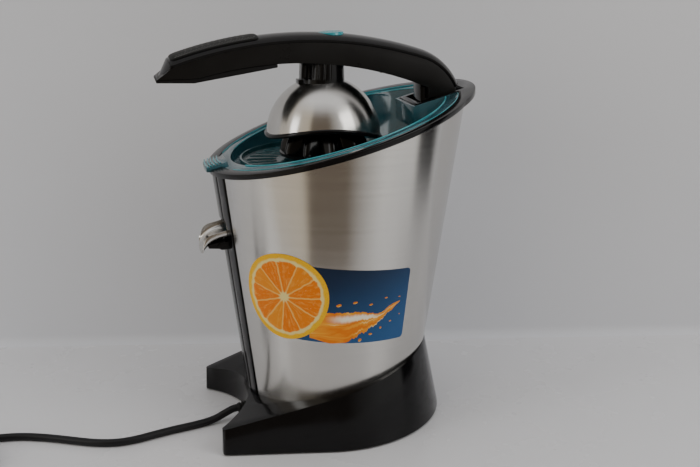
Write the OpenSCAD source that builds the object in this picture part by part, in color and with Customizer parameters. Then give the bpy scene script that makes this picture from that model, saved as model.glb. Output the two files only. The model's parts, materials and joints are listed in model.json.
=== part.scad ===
// Electric citrus press with a pull-down arm. Millimetres, +Z up, front towards -Y.
// Every piece is drawn around the reamer's axis and moved to the frame by on_axis().

/* [Body] */
// Radius of the steel shell's cone at table level
shell_foot_r = 71; // [67:0.5:76]
// Radius of the steel shell's cone at the height of the rim
shell_rim_r = 104; // [98:0.5:126]
// Height of the slanted rim, measured on the reamer's axis
rim_h = 248; // [236:1:300]
// Slope of the rim and of the base deck, in degrees
rim_tilt = 14; // [12:0.5:16]
// Backward lean of the shell's cone, in degrees
shell_lean = 2.3; // [1.5:0.1:3]
// Thickness of the steel sheet
shell_t = 0.8; // [0.6:0.1:1.2]
// Half of the angle that the black front panel covers
panel_half_angle = 20; // [16:1:26]

/* [Base] */
// Radius of the base's round back at table level
base_r = 92; // [86:1:112]
// Height of the base deck, measured on the reamer's axis
deck_h = 48; // [40:1:60]
// How far the legs reach in front of the reamer's axis
leg_reach = 107; // [96:1:125]
// Half of the width over the legs
leg_half_w = 70; // [64:1:84]
// Radius of the round bay between the legs
bay_r = 76.5; // [70:0.5:80]
// Wall of the moulded base
base_wall = 2.6; // [2:0.1:3.5]

/* [Rim and tray] */
// How far the rim collar stands out past the steel
collar_out = 3.5; // [2.5:0.1:5]
// Wall of the moulded tray
tray_wall = 2.2; // [1.6:0.1:3]
// Height of the strainer above the table
strainer_z = 222; // [216:1:226]
// Radius of the strainer disc
strainer_r = 70; // [62:0.5:72]

/* [Reamer] */
// Radius of the large reamer at its skirt
reamer_r = 37; // [32:0.5:40]
// Height of the large reamer
reamer_h = 50; // [44:1:52]
// Number of ribs on the reamer
reamer_ribs = 10; // [6:1:14]
// Radius of the drive shaft
shaft_r = 5; // [4:0.25:6]
// Travel of the shaft when the fruit is pressed down
press_travel = 3; // [2:0.5:4]

/* [Dome and arm] */
// Radius of the steel dome
dome_r = 47; // [44:0.5:52]
// Width of the arm
arm_w = 36; // [32:1:40]
// Thickness of the arm's moulded walls
arm_wall = 2.4; // [2:0.1:3]
// Radius of the arm's hinge pin
pin_r = 3; // [2.5:0.25:4]
// Height of the hinge pin above the rim plane at its own place
pin_above_rim = 10; // [9:0.5:12]
// Distance from the reamer's axis back to the hinge pin
pin_y = 92; // [90:0.5:94]

/* [Cord] */
// Diameter of the mains cord
cord_d = 6.5; // [6:0.1:7.5]

/* [Hidden] */

// Colours
STEEL = [0.72, 0.72, 0.70];
BLACK = [0.03, 0.03, 0.035];
DARK_PLASTIC = [0.12, 0.12, 0.13];
RUBBER = [0.06, 0.06, 0.06];
TEAL = [0.10, 0.55, 0.60, 0.6];
GEAR_WHITE = [0.88, 0.87, 0.80];
COPPER = [0.70, 0.38, 0.20];
BRONZE = [0.68, 0.50, 0.28];
ORANGE = [0.95, 0.55, 0.10];

// Small amounts shared by the pieces
eps = 0.01;
big = 400;
slip = 0.05;          // radial clearance of a running fit
gap = 0.3;            // clearance between mouldings that only sit together
round_fn = 120;

// Shell cone: its centre line starts a little in front of the reamer's axis
shell_centre_y = -1.8;
shell_flare = (shell_rim_r - shell_foot_r) / rim_h;
function shell_r_at(z) = shell_foot_r + shell_flare * z;
function shell_y_at(z) = shell_centre_y + z * tan(shell_lean);
function rim_z_at(y) = rim_h + y * tan(rim_tilt);
function deck_z_at(y) = deck_h + y * tan(rim_tilt);

// Base
foot_h = 3.5;
base_z = 1.5;
base_lean = 0.17;
leg_corner_r = 3;
bay_y = -152;
cover_t = 2.5;
foot_places = [[-60, -88], [60, -88], [-60, 52], [60, 52]];
leg_places = [[-46, -36], [46, -36], [-52, 34], [52, 34]];
leg_screw_r = 1.6;

// Front panel and label
panel_slope = atan(shell_flare) - shell_lean;
label_z = 130.5;

// Rim collar
collar_t = 4.2;
flange_t = 2.2;
flange_drop = 0.4;
flange_out = -5.8;    // tray flange's edge, inside the shell's outer face
ledge_in = -12;       // inner edge of the ledge that carries the flange
shell_in_collar = 2.1;
shell_in_base = 3;
collar_back = 127;    // rearmost point of the collar
back_bulge_r = 88;

// Hinge
pin_z = rim_z_at(pin_y) + pin_above_rim;
well_r = 24.2;
well_half_w = 19;
well_block_half_w = 22.5;
well_front = pin_y - 15;
well_floor_z = pin_z - 27;
bracket_half_w = 9.5;
bracket_front = pin_y - 11;
bracket_back = pin_y + 8;
bracket_flange_t = 3;

// Tray
bowl_in = -14;        // tray wall's outer face, inside the shell's outer face
tray_floor_z = 176;
tray_floor_r = 30;
hub_r = 12;
hub_top_z = 209;
tab_half_w = 14;
tab_out = 7;
tab_rise = 2.2;        // top of the finger tab above the rim
duct_half_w = 11;
duct_floor_z = tray_floor_z - 6;
spout_z = 168;

// Spout: the scoop's side view is a floor that droops to a beak, and low cheeks
spout_hole_half_w = 21;
spout_w = 36;
spout_pin = [-shell_r_at(spout_z) + shell_y_at(spout_z) - 4, spout_z];
scoop_outline = [
  [spout_pin[0] + 5, spout_z + 5], [spout_pin[0] - 6, spout_z + 3.6], [spout_pin[0] - 13, spout_z - 0.5],
  [spout_pin[0] - 17, spout_z - 9], [spout_pin[0] - 15, spout_z - 9.4],
  [spout_pin[0] - 9, spout_z - 5], [spout_pin[0] + 5, spout_z - 2]];

// Gears: the intermediate gear and the motor are placed by the gears' own sizes
drive_module = 1.25;
output_module = 1.5;
pinion_teeth = 12;
wheel_teeth = 44;
small_teeth = 14;
output_teeth = 42;
idler_distance = output_module * (small_teeth + output_teeth) / 2;
motor_distance = drive_module * (pinion_teeth + wheel_teeth) / 2;
idler_dir = 35;
motor_dir = 160;
idler_pos = idler_distance * [cos(idler_dir), sin(idler_dir)];
motor_pos = idler_pos + motor_distance * [cos(motor_dir), sin(motor_dir)];
axle_r = 2.5;
rotor_r = 2.5;

// Heights of the drive, from the chassis up
chassis_z = 106;
chassis_t = 4;
housing_z = chassis_z + chassis_t;
housing_t = 3;
wheel_z = housing_z + housing_t + 1;
wheel_t = 7;
output_z = wheel_z + wheel_t + 1;
output_t = 9;
lid_z = output_z + output_t + press_travel + 1;
lid_t = 3;
tower_top_z = 206;
shaft_bottom_z = 104;
washer_t = 1.2;
washer_z = output_z + press_travel - washer_t - 0.05;
reamer_z = strainer_z + 2.5 + press_travel + 1.2;
shaft_top_z = reamer_z + 24;
can_r = 30;
can_h = 58;
can_z = housing_z - can_h;
gearbox_screw_places = [[-36, 22], [-30, -32], [34, -26], [66, 42], [24, 62]];

// Arm outline: the top is one long arc that rolls into a tighter bend over the hinge
arm_top_r = 325;
arm_top_c = [-25, rim_h - 249.3];
bend_r = 48;
bend_start = 19.3;
bend_end = 67;
bend_c = arm_top_c + (arm_top_r - bend_r) * [sin(bend_start), cos(bend_start)];
arm_under_r = 290;
arm_under_c = [-35, rim_h - 233];
crown_h = 4;
cover_skin = 3;
nose_a = -17.3;
nose_tip = [-132, arm_top_c[1] + 299.5];
foot_front = pin_y - 6;
foot_back = bend_c[0] + bend_r * sin(bend_end);
foot_z = pin_z - 8.5;
arm_screw_ys = [-30, 52];
pad_from = -17;
pad_to = -4.6;

// Dome
dome_z = rim_h - 3.7;
dome_tilt = 4.5;
arch_r = 110;
arch_h = 10.5;
dome_t = 0.8;
liner_t = 2.2;
trim_h = 3.5;
neck_r = 18.5;
button_y = 9;
button_r = 10.5;
button_travel = 2.5;
button_head = 7;
button_top = arm_top_c[1] + sqrt(pow(arm_top_r + crown_h, 2) - pow(button_y - arm_top_c[0], 2)) + 1.6;

// Frame: the reamer's axis is set so that the origin is under the middle of the length
nose_reach = -nose_tip[0] + 1;
axis_y = (nose_reach - collar_back) / 2;

// Strain relief: its mouth is in front of the bay's wall
cord_r = cord_d / 2;
gland_x = 6;
gland_z = 11;
gland_r = 5.5;
gland_len = 24;
gland_mouth_y = -83;

// Cord route along the table, from the mouth of the strain relief to the coil, in the frame
cord_route = [
  [6, -83, 11], [6, -88, 10.3], [6.6, -95, 7.6], [8, -103, 4.7], [10, -112, 3.4], [13, -124, 3.3],
  [16, -140, 3.3], [20, -156, 3.3], [24, -171, 3.3], [25, -186, 3.3], [21, -202, 3.3], [13, -218, 3.3],
  [4, -234, 3.3], [-4, -250, 3.3], [-10, -266, 3.3], [-13, -283, 3.3], [-14, -298, 3.3], [-14, -312, 3.3]];
coil_pos = [25, -328];
coil_mid_r = 36;
// Free end of the cord, from the top of the coil down to the plug
tail_route = [[-14, -340, 9.6], [-14, -350, 8.6], [-14, -362, 6], [-14, -376, 4.4], [-14, -388, 5.4], [-14, -398, 8]];
plug_pos = [-14, -398, 8.5];

// ---------- shared shapes ----------

module on_axis() { translate([0, axis_y, 0]) children(); }

// The shell's leaning cone, made wider or narrower by off
module flare(off) {
  z0 = -20;
  z1 = 330;
  translate([0, shell_centre_y, 0]) rotate([-shell_lean, 0, 0]) translate([0, 0, z0])
    cylinder(h = z1 - z0, r1 = shell_r_at(z0) + off, r2 = shell_r_at(z1) + off, $fn = round_fn);
}

// A slanted layer between two heights on the reamer's axis
module layer(h0, h1) {
  translate([0, 0, h0]) rotate([rim_tilt, 0, 0])
    translate([-big / 2, -big / 2, 0]) cube([big, big, (h1 - h0) * cos(rim_tilt)]);
}

module front_wedge(half_angle) {
  reach = 160;
  translate([0, 0, -10]) linear_extrude(320)
    polygon([[0, 0], [-reach * tan(half_angle), -reach], [reach * tan(half_angle), -reach]]);
}

// A side view outline, in Y and Z, given a width along X
module side_plate(width) {
  translate([-width / 2, 0, 0]) rotate([90, 0, 90]) linear_extrude(width) children();
}

module across_x(y, z, r, w, fn = 48) {
  translate([0, y, z]) rotate([0, 90, 0]) cylinder(h = w, r = r, center = true, $fn = fn);
}

function arc(c, r, a0, a1, n) = [for (i = [0:n]) let (a = a0 + (a1 - a0) * i / n) c + r * [sin(a), cos(a)]];

// Sweeps a section, drawn as radius and X, along an arc of the arm's side view
module arc_sweep(c, a0, a1) {
  translate([0, c[0], c[1]]) rotate([90, 0, 90]) rotate([0, 0, 90 - a1])
    rotate_extrude(angle = a1 - a0, $fn = 180) children();
}

// A spur gear with straight flanks, one tooth centred on +X
module gear_outline(m, teeth) {
  pitch_r = m * teeth / 2;
  tip_r = pitch_r + 0.8 * m;
  root_r = pitch_r - 1.15 * m;
  pitch_a = 360 / teeth;
  polygon([for (i = [0:teeth - 1]) for (p = [[root_r, -0.32], [tip_r, -0.13], [tip_r, 0.13], [root_r, 0.32]])
    p[0] * [cos((i + p[1]) * pitch_a), sin((i + p[1]) * pitch_a)]]);
}

// ---------- base ----------

// The base's outer form, before the deck cuts it off, drawn smaller by inset
module base_form(inset, z0) {
  top = 90;
  shrink = base_lean * (top - z0);
  hull() {
    translate([0, 0, z0]) cylinder(h = top - z0, r1 = base_r - inset, r2 = base_r - inset - shrink, $fn = 96);
    for (side = [-1, 1]) {
      x = leg_half_w - leg_corner_r - inset;
      y = -leg_reach + leg_corner_r + inset;
      translate([side * x, y, z0]) cylinder(h = 1, r = leg_corner_r, $fn = 32);
      translate([side * (x - shrink), y + shrink / 3, top - 1]) cylinder(h = 1, r = leg_corner_r, $fn = 32);
    }
  }
}

module bay(extra) { translate([0, bay_y, -5]) cylinder(h = 120, r = bay_r + extra, $fn = round_fn); }

module base_stand() {
  color(BLACK) on_axis() difference() {
    intersection() {
      base_form(0, base_z);
      layer(deck_h - 100, deck_h);
    }
    bay(0);
    difference() {
      intersection() {
        base_form(base_wall, base_z - 1);
        layer(deck_h - 110, deck_h - base_wall - 1);
      }
      bay(base_wall);
    }
    // opening inside the shell, and the groove that its lower edge stands in
    difference() {
      flare(-6);
      bay(base_wall + 2);
    }
    difference() {
      flare(gap / 2);
      flare(-shell_t - gap / 2);
      layer(0, deck_h - shell_in_base);
    }
    // round way for the strain relief
    translate([gland_x, bay_y + bay_r - 6, gland_z]) rotate([-90, 0, 0]) cylinder(h = 16, r = gland_r, $fn = 48);
  }
}

module bottom_cover() {
  slots = 9;
  color(DARK_PLASTIC) on_axis() difference() {
    intersection() {
      base_form(base_wall + gap, base_z + 0.5);
      translate([-big / 2, -big / 2, base_z + 0.5]) cube([big, big, cover_t]);
    }
    bay(base_wall + gap);
    for (i = [0:slots - 1]) translate([-24 + 6 * i - 1.5, 52, 0]) cube([3, 26, 10]);
    for (p = leg_places) translate([p[0], p[1], 0]) cylinder(h = 10, r = leg_screw_r + 0.3, $fn = 32);
    for (p = foot_places) translate([p[0], p[1], 0]) cylinder(h = 10, r = 3.2, $fn = 32);
  }
}

module rubber_feet() {
  color(RUBBER) on_axis() for (p = foot_places) translate([p[0], p[1], 0]) {
    cylinder(h = base_z + 0.5, r = 8, $fn = 48);
    cylinder(h = base_z + 0.5 + cover_t + 1, r = 3, $fn = 32);
  }
}

module cover_screws() {
  color(STEEL) on_axis() for (p = leg_places) translate([p[0], p[1], 0.7]) {
    cylinder(h = base_z + 0.5 - 0.7, r = 3.2, $fn = 32);
    cylinder(h = 16, r = leg_screw_r, $fn = 32);
  }
}

// ---------- body ----------

module steel_shell() {
  color(STEEL) on_axis() difference() {
    flare(0);
    flare(-shell_t);
    layer(-200, deck_h - shell_in_base);
    layer(rim_h - shell_in_collar, rim_h + 200);
    front_wedge(panel_half_angle);
  }
}

module front_panel() {
  color(BLACK) on_axis() difference() {
    intersection() {
      difference() {
        flare(1);
        flare(-2.4);
      }
      front_wedge(panel_half_angle - 0.3);
      layer(deck_h + 0.2, rim_h - collar_t - 0.2);
    }
    for (side = [-1, 1]) rotate([0, 0, side * 10.5]) rotate([panel_slope, 0, 0])
      translate([-0.8, -shell_foot_r - 3, 0]) cube([1.6, 6, 260]);
    translate([-spout_hole_half_w, -120, spout_z - 9]) cube([2 * spout_hole_half_w, 60, 22]);
  }
}

// A thin printed sheet on the shell's right side: a round part and a panel behind it
module label_sheet() {
  color(ORANGE) on_axis() intersection() {
    difference() {
      flare(0.25);
      flare(0);
    }
    union() {
      rotate([0, 0, -36]) translate([0, 0, label_z]) rotate([0, 90, 0]) cylinder(h = 120, r = 36.5, $fn = 96);
      translate([0, -36, label_z - 42]) cube([120, 84, 66]);
    }
  }
}

module rim_collar() {
  color(BLACK) on_axis() difference() {
    union() {
      intersection() {
        union() {
          flare(collar_out);
          translate([0, collar_back - back_bulge_r, 200]) cylinder(h = 120, r = back_bulge_r, $fn = round_fn);
        }
        layer(rim_h - collar_t, rim_h);
        difference() {
          translate([-big / 2, -big / 2, 0]) cube(big);
          difference() {
            flare(ledge_in);
            well_block();
          }
        }
      }
      intersection() {
        well_block();
        flare(-shell_t - gap);
        layer(0, rim_h);
      }
    }
    // rebate that the tray's flange drops into
    difference() {
      flare(flange_out + gap);
      layer(0, rim_h - flange_drop - flange_t);
      well_block();
    }
    // groove for the top of the steel shell
    difference() {
      flare(gap / 2);
      flare(-shell_t - gap / 2);
      layer(rim_h - shell_in_collar + 0.1, rim_h + 60);
    }
    // well that the arm's tail turns in, and the slot for the hinge bracket
    intersection() {
      across_x(pin_y, pin_z, well_r, 2 * well_half_w, round_fn);
      translate([-big / 2, well_front, 0]) cube(big);
    }
    translate([-bracket_half_w - 0.1, bracket_front - 0.1, 0])
      cube([2 * bracket_half_w + 0.2, bracket_back - bracket_front + 0.2, big]);
    // gap that the tray's finger tab passes through
    translate([-tab_half_w - gap, -big, rim_z_at(-95) - 2.4]) cube([2 * (tab_half_w + gap), big - 80, 30]);
  }
}

module well_block() {
  translate([-well_block_half_w, well_front - 4, well_floor_z]) cube([2 * well_block_half_w, 60, 60]);
}

module hinge_bracket() {
  color(BLACK) on_axis() difference() {
    union() {
      translate([-bracket_half_w, bracket_front, well_floor_z - eps])
        cube([2 * bracket_half_w, bracket_back - bracket_front, pin_z - well_floor_z]);
      across_x(pin_y, pin_z, 8, 2 * bracket_half_w);
      translate([-15, bracket_front - 3, well_floor_z - bracket_flange_t])
        cube([30, bracket_back - bracket_front + 6, bracket_flange_t]);
    }
    across_x(pin_y, pin_z, pin_r + slip, 60);
  }
}

// ---------- drive ----------

module chassis() {
  color(DARK_PLASTIC) on_axis() difference() {
    union() {
      intersection() {
        flare(-shell_t - gap - 2);
        translate([-big / 2, -big / 2, chassis_z]) cube([big, big, chassis_t]);
      }
      for (p = leg_places) translate([p[0], p[1], base_z + 0.5 + cover_t])
        cylinder(h = chassis_z - base_z - 0.5 - cover_t + eps, r = 6, $fn = 48);
    }
    for (p = leg_places) translate([p[0], p[1], 0]) cylinder(h = 20, r = leg_screw_r, $fn = 32);
    translate([motor_pos[0], motor_pos[1], chassis_z - 5]) cylinder(h = 20, r = can_r + 1, $fn = round_fn);
    translate([0, 0, chassis_z - 5]) cylinder(h = 20, r = 14, $fn = 64);
    for (a = [0:5]) rotate([0, 0, 200 + 20 * a]) translate([48, -3, chassis_z - 5]) cube([22, 6, 20]);
  }
}

module gearbox_plan(off) {
  circle(r = 38 + off, $fn = 96);
  translate(idler_pos) circle(r = 32 + off, $fn = 96);
  translate(motor_pos) circle(r = 18 + off, $fn = 96);
}

module gearbox_ears() {
  for (p = gearbox_screw_places) translate(p) circle(r = 5, $fn = 48);
}

module gearbox_housing() {
  wall = 2.5;
  color(DARK_PLASTIC) on_axis() difference() {
    translate([0, 0, housing_z]) linear_extrude(lid_z - housing_z) {
      gearbox_plan(0);
      gearbox_ears();
    }
    translate([0, 0, housing_z + housing_t]) linear_extrude(60) gearbox_plan(-wall);
    translate([0, 0, housing_z - 5]) cylinder(h = 20, r = shaft_r + slip, $fn = 64);
    translate([idler_pos[0], idler_pos[1], housing_z - 5]) cylinder(h = 20, r = axle_r, $fn = 48);
    translate([motor_pos[0], motor_pos[1], housing_z - 5]) cylinder(h = 20, r = 4, $fn = 48);
    for (p = gearbox_screw_places) translate([p[0], p[1], housing_z + 8]) cylinder(h = 60, r = 1.4, $fn = 32);
  }
}

module gearbox_cover() {
  color(DARK_PLASTIC) on_axis() difference() {
    translate([0, 0, lid_z]) linear_extrude(lid_t) {
      gearbox_plan(0);
      gearbox_ears();
    }
    translate([0, 0, lid_z - 5]) cylinder(h = 20, r = 11, $fn = 64);
    translate([idler_pos[0], idler_pos[1], lid_z - 5]) cylinder(h = 20, r = axle_r, $fn = 48);
    for (p = gearbox_screw_places) translate([p[0], p[1], lid_z - 5]) cylinder(h = 20, r = 1.7, $fn = 32);
  }
}

module gearbox_screws() {
  color(STEEL) on_axis() for (p = gearbox_screw_places) translate([p[0], p[1], lid_z - 10]) {
    cylinder(h = 10 + lid_t, r = 1.4, $fn = 32);
    translate([0, 0, 10 + lid_t]) cylinder(h = 2, r = 2.8, $fn = 32);
  }
}

module motor_can() {
  color(STEEL) on_axis() translate([motor_pos[0], motor_pos[1], can_z]) difference() {
    cylinder(h = can_h, r = can_r, $fn = round_fn);
    translate([0, 0, -1]) cylinder(h = can_h - 2, r = can_r - 2.5, $fn = round_fn);
    cylinder(h = can_h + 5, r = rotor_r + slip, $fn = 48);
    for (a = [0:5]) rotate([0, 0, 60 * a]) translate([can_r - 6, -3, 6]) cube([10, 6, 12]);
  }
}

module motor_stator() {
  color(COPPER) on_axis() translate([motor_pos[0], motor_pos[1], can_z + 12]) difference() {
    cylinder(h = can_h - 18, r = can_r - 2.5, $fn = round_fn);
    translate([0, 0, -1]) cylinder(h = can_h, r = can_r - 6.2, $fn = round_fn);
  }
}

module motor_rotor() {
  pinion_phase = motor_dir + 180;
  color(COPPER) on_axis() translate([motor_pos[0], motor_pos[1], 0]) {
    translate([0, 0, can_z - 12]) cylinder(h = wheel_z + wheel_t - can_z + 12, r = rotor_r, $fn = 48);
    translate([0, 0, can_z + 12]) cylinder(h = can_h - 18, r = can_r - 7, $fn = round_fn);
    translate([0, 0, wheel_z]) linear_extrude(wheel_t) rotate(pinion_phase) gear_outline(drive_module, pinion_teeth);
  }
}

module cooling_fan() {
  blades = 7;
  color(DARK_PLASTIC) on_axis() translate([motor_pos[0], motor_pos[1], can_z - 11]) difference() {
    union() {
      cylinder(h = 8, r = 7, $fn = 64);
      for (i = [0:blades - 1]) rotate([0, 0, i * 360 / blades]) translate([5, 0, 4]) rotate([35, 0, 0])
        translate([0, -0.8, -4]) cube([19, 1.6, 8]);
    }
    translate([0, 0, -1]) cylinder(h = 20, r = rotor_r, $fn = 48);
  }
}

module intermediate_gear() {
  // a tooth space faces the pinion's tooth
  wheel_phase = motor_dir + 180 / wheel_teeth;
  small_phase = idler_dir + 180;
  color(GEAR_WHITE) on_axis() translate([idler_pos[0], idler_pos[1], 0]) {
    translate([0, 0, wheel_z]) linear_extrude(wheel_t) rotate(wheel_phase) gear_outline(drive_module, wheel_teeth);
    translate([0, 0, wheel_z + wheel_t - eps]) linear_extrude(lid_z - wheel_z - wheel_t - 1)
      rotate(small_phase) gear_outline(output_module, small_teeth);
    translate([0, 0, housing_z]) cylinder(h = lid_z + lid_t - housing_z, r = axle_r - slip, $fn = 48);
  }
}

module output_gear() {
  output_phase = idler_dir + 180 / output_teeth;
  color(GEAR_WHITE) on_axis() difference() {
    translate([0, 0, output_z + press_travel]) linear_extrude(output_t)
      rotate(output_phase) gear_outline(output_module, output_teeth);
    translate([0, 0, output_z - 5]) cylinder(h = 40, r = shaft_r, $fn = 64);
    for (a = [0:5]) rotate([0, 0, 60 * a]) translate([18, 0, output_z - 5]) cylinder(h = 40, r = 5, $fn = 48);
  }
}

module drive_shaft() {
  color(STEEL) on_axis() {
    translate([0, 0, shaft_bottom_z]) cylinder(h = reamer_z - 2 - shaft_bottom_z, r = shaft_r, $fn = 64);
    translate([-3.4, -3.4, reamer_z - 2 - eps]) cube([6.8, 6.8, shaft_top_z - reamer_z + 2]);
  }
}

module shaft_tower() {
  color(BLACK) on_axis() difference() {
    union() {
      translate([0, 0, lid_z + lid_t]) cylinder(h = 4, r = 22, $fn = 96);
      translate([0, 0, lid_z + lid_t]) cylinder(h = tower_top_z - lid_z - lid_t, r = 9.4, $fn = 96);
    }
    translate([0, 0, lid_z - 5]) cylinder(h = 100, r = 7, $fn = 64);
    translate([0, 0, tower_top_z - 12]) cylinder(h = 100, r = 7.8, $fn = 64);
  }
}

module shaft_bush() {
  color(BRONZE) on_axis() translate([0, 0, tower_top_z - 12]) difference() {
    cylinder(h = 12, r = 7.8, $fn = 64);
    translate([0, 0, -1]) cylinder(h = 20, r = shaft_r + slip, $fn = 64);
  }
}

module return_spring() {
  color(STEEL) on_axis() translate([0, 0, housing_z + housing_t])
    coil_spring(shaft_r + 2, 0.8, washer_z - housing_z - housing_t, 4);
}

// Ring between the spring and the turning gear
module thrust_washer() {
  color(STEEL) on_axis() translate([0, 0, washer_z]) difference() {
    cylinder(h = washer_t, r = shaft_r + 4, $fn = 64);
    translate([0, 0, -1]) cylinder(h = 5, r = shaft_r + slip, $fn = 64);
  }
}

module micro_switch() {
  color(DARK_PLASTIC) on_axis() {
    translate([-10, -4, shaft_bottom_z - press_travel - 13]) cube([20, 8, 9]);
    translate([-2, -1.5, shaft_bottom_z - press_travel - 4.1]) cube([4, 3, 3.6]);
    translate([10 - eps, -4, shaft_bottom_z - press_travel - 13]) cube([12, 8, 3]);
    translate([19, -4, shaft_bottom_z - press_travel - 13]) cube([3, 8, chassis_z - shaft_bottom_z + press_travel + 13]);
  }
}

module capacitor() { color(ORANGE) on_axis() translate([-50, -14, chassis_z - 16]) cube([10, 22, 16]); }

module terminal_block() {
  color(GEAR_WHITE) on_axis() difference() {
    translate([-16, -52, base_z + 0.5 + cover_t]) cube([24, 12, 12]);
    for (x = [-12, -4, 4]) translate([x, -60, 12]) rotate([-90, 0, 0]) cylinder(h = 30, r = 2, $fn = 32);
  }
}

module cord_clamp() {
  clamp_y = gland_mouth_y + gland_len;
  color(DARK_PLASTIC) difference() {
    translate([gland_x - 12, clamp_y, base_z + 0.5 + cover_t]) cube([24, 7, 12]);
    translate([gland_x, clamp_y - 5, gland_z]) rotate([-90, 0, 0]) cylinder(h = 30, r = cord_r, $fn = 48);
  }
}

// ---------- tray and strainer ----------

module alcove(grow) {
  half = well_block_half_w + 1 + grow;
  translate([-half, well_front - 5 - grow, well_floor_z - bracket_flange_t - 1 - grow])
    cube([2 * half, 100, 100]);
}

module sump(off) {
  // juice runs down this funnel to the duct
  translate([0, 0, tray_floor_z - off])
    cylinder(h = strainer_z - tray_floor_z + off, r1 = tray_floor_r + off, r2 = strainer_r - 3 + off, $fn = round_fn);
}

module tray_duct(off) {
  y1 = spout_pin[0] + 12;
  translate([-duct_half_w - off, y1, duct_floor_z - off])
    cube([2 * (duct_half_w + off), -y1 - 20, 14 + off]);
}

module juice_tray() {
  color(TEAL) on_axis() difference() {
    union() {
      // outer wall, up to the slanted flange
      intersection() {
        flare(bowl_in);
        translate([-big / 2, -big / 2, strainer_z - tray_wall]) cube(big);
        layer(0, rim_h - flange_drop);
      }
      intersection() {
        flare(flange_out);
        layer(rim_h - flange_drop - flange_t, rim_h - flange_drop);
      }
      sump(tray_wall);
      tray_duct(tray_wall);
      finger_tab();
    }
    difference() {
      intersection() {
        flare(bowl_in - tray_wall);
        translate([-big / 2, -big / 2, strainer_z]) cube(big);
      }
      alcove(tray_wall);
    }
    alcove(0);
    // seat for the strainer, the funnel and the duct
    difference() {
      sump(0);
      translate([0, 0, 100]) cylinder(h = hub_top_z - 100, r = hub_r, $fn = 96);
    }
    difference() {
      tray_duct_inside();
      translate([0, 0, 100]) cylinder(h = hub_top_z - 100, r = hub_r, $fn = 96);
    }
    translate([0, 0, 100]) cylinder(h = 200, r = 9.4 + gap, $fn = 96);
  }
}

module tray_duct_inside() {
  y1 = spout_pin[0] + 11;
  translate([-duct_half_w, y1, duct_floor_z]) cube([2 * duct_half_w, -y1 - 14, 12]);
}

module finger_tab() {
  ribs = 5;
  intersection() {
    union() {
      intersection() {
        flare(tab_out);
        layer(rim_h - flange_drop - flange_t, rim_h + tab_rise);
      }
      for (i = [0:ribs - 1]) intersection() {
        difference() {
          flare(tab_out - 1 - 2.6 * i);
          flare(tab_out - 2.2 - 2.6 * i);
        }
        layer(rim_h - flange_drop, rim_h + tab_rise + 1);
      }
    }
    translate([-tab_half_w, -big, rim_z_at(-95) - 2]) cube([2 * tab_half_w, big - 82, 30]);
  }
}

module strainer() {
  slots = 30;
  color([0.07, 0.33, 0.36]) on_axis() difference() {
    translate([0, 0, strainer_z + 0.05]) cylinder(h = 6, r = strainer_r, $fn = round_fn);
    translate([0, 0, strainer_z + 2.25]) cylinder(h = 20, r = strainer_r - 1.6, $fn = round_fn);
    translate([0, 0, strainer_z - 5]) cylinder(h = 40, r = shaft_r + 4, $fn = 64);
    for (i = [0:slots - 1]) rotate([0, 0, i * 360 / slots]) translate([42, -0.9, strainer_z - 5]) cube([20, 1.8, 40]);
  }
}

// ---------- reamers ----------

function reamer_profile(r, h) = [for (i = [0:8]) let (t = i / 8) [r * (1 - t) * (1 + 0.75 * t) + 1.5 * t, h * t]];

module reamer_ridges(r, h, count) {
  for (i = [0:count - 1]) rotate([90, 0, i * 360 / count]) translate([0, 0, -1.2])
    linear_extrude(2.4) polygon(concat([[0, 0]], [for (p = reamer_profile(r, h)) [p[0], p[1]]]));
}

module small_reamer() {
  color(BLACK) on_axis() translate([0, 0, reamer_z]) difference() {
    union() {
      rotate_extrude($fn = 96) polygon(concat([[0, 0]], reamer_profile(19, 34)));
      cylinder(h = 3, r = 24, $fn = 96);
      reamer_ridges(22, 36, 8);
    }
    translate([-3.5, -3.5, -1]) cube([7, 7, shaft_top_z - reamer_z + 1.2]);
  }
}

module large_reamer() {
  color(BLACK) on_axis() translate([0, 0, reamer_z]) difference() {
    union() {
      cylinder(h = 4, r = reamer_r, $fn = round_fn);
      rotate_extrude($fn = 96) polygon(concat([[0, 0]], reamer_profile(reamer_r - 5, reamer_h - 2)));
      reamer_ridges(reamer_r - 1, reamer_h, reamer_ribs);
    }
    translate([0, 0, -0.5]) cylinder(h = 3.9, r = 24 + gap, $fn = 96);
    translate([0, 0, 3.3]) cylinder(h = 34, r1 = 24 + gap, r2 = 5, $fn = 96);
  }
}

// ---------- spout ----------

module spout_hinge() {
  color(BLACK) on_axis() {
    for (side = [-1, 1]) translate([side * (spout_hole_half_w - 1.3) - 1.1, spout_pin[0] - 3, spout_z - 8.5])
      cube([2.2, 12, 17]);
    translate([-spout_hole_half_w + 0.1, spout_pin[0] + 6, spout_z - 8.5])
      cube([2 * spout_hole_half_w - 0.2, 2.8, 3]);
    across_x(spout_pin[0] + 1, spout_z - 6.5, 1.5, 2 * spout_hole_half_w - 2);
  }
}

module spout_lip() {
  color(STEEL) on_axis() difference() {
    side_plate(spout_w) polygon(scoop_outline);
    // the trough, left open at the top, the back and over the beak
    side_plate(spout_w - 2.4) polygon([
      [spout_pin[0] + 9, spout_z + 9], [spout_pin[0] - 30, spout_z + 9], [spout_pin[0] - 30, spout_z - 9],
      [spout_pin[0] - 16.6, spout_z - 8], [spout_pin[0] - 9.6, spout_z - 3.6], [spout_pin[0] + 9, spout_z]]);
  }
}

module spout_lever() {
  color(BLACK) on_axis() difference() {
    union() {
      across_x(spout_pin[0] + 1, spout_z - 6.5, 2.8, spout_w - 1);
      side_plate(spout_w - 1) polygon([
        [spout_pin[0] + 3, spout_z - 2.9], [spout_pin[0] - 8.7, spout_z - 5.1], [spout_pin[0] - 10, spout_z - 8],
        [spout_pin[0] + 1, spout_z - 9.3]]);
    }
    across_x(spout_pin[0] + 1, spout_z - 6.5, 1.5 + slip, 60);
  }
}

// ---------- arm ----------

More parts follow.
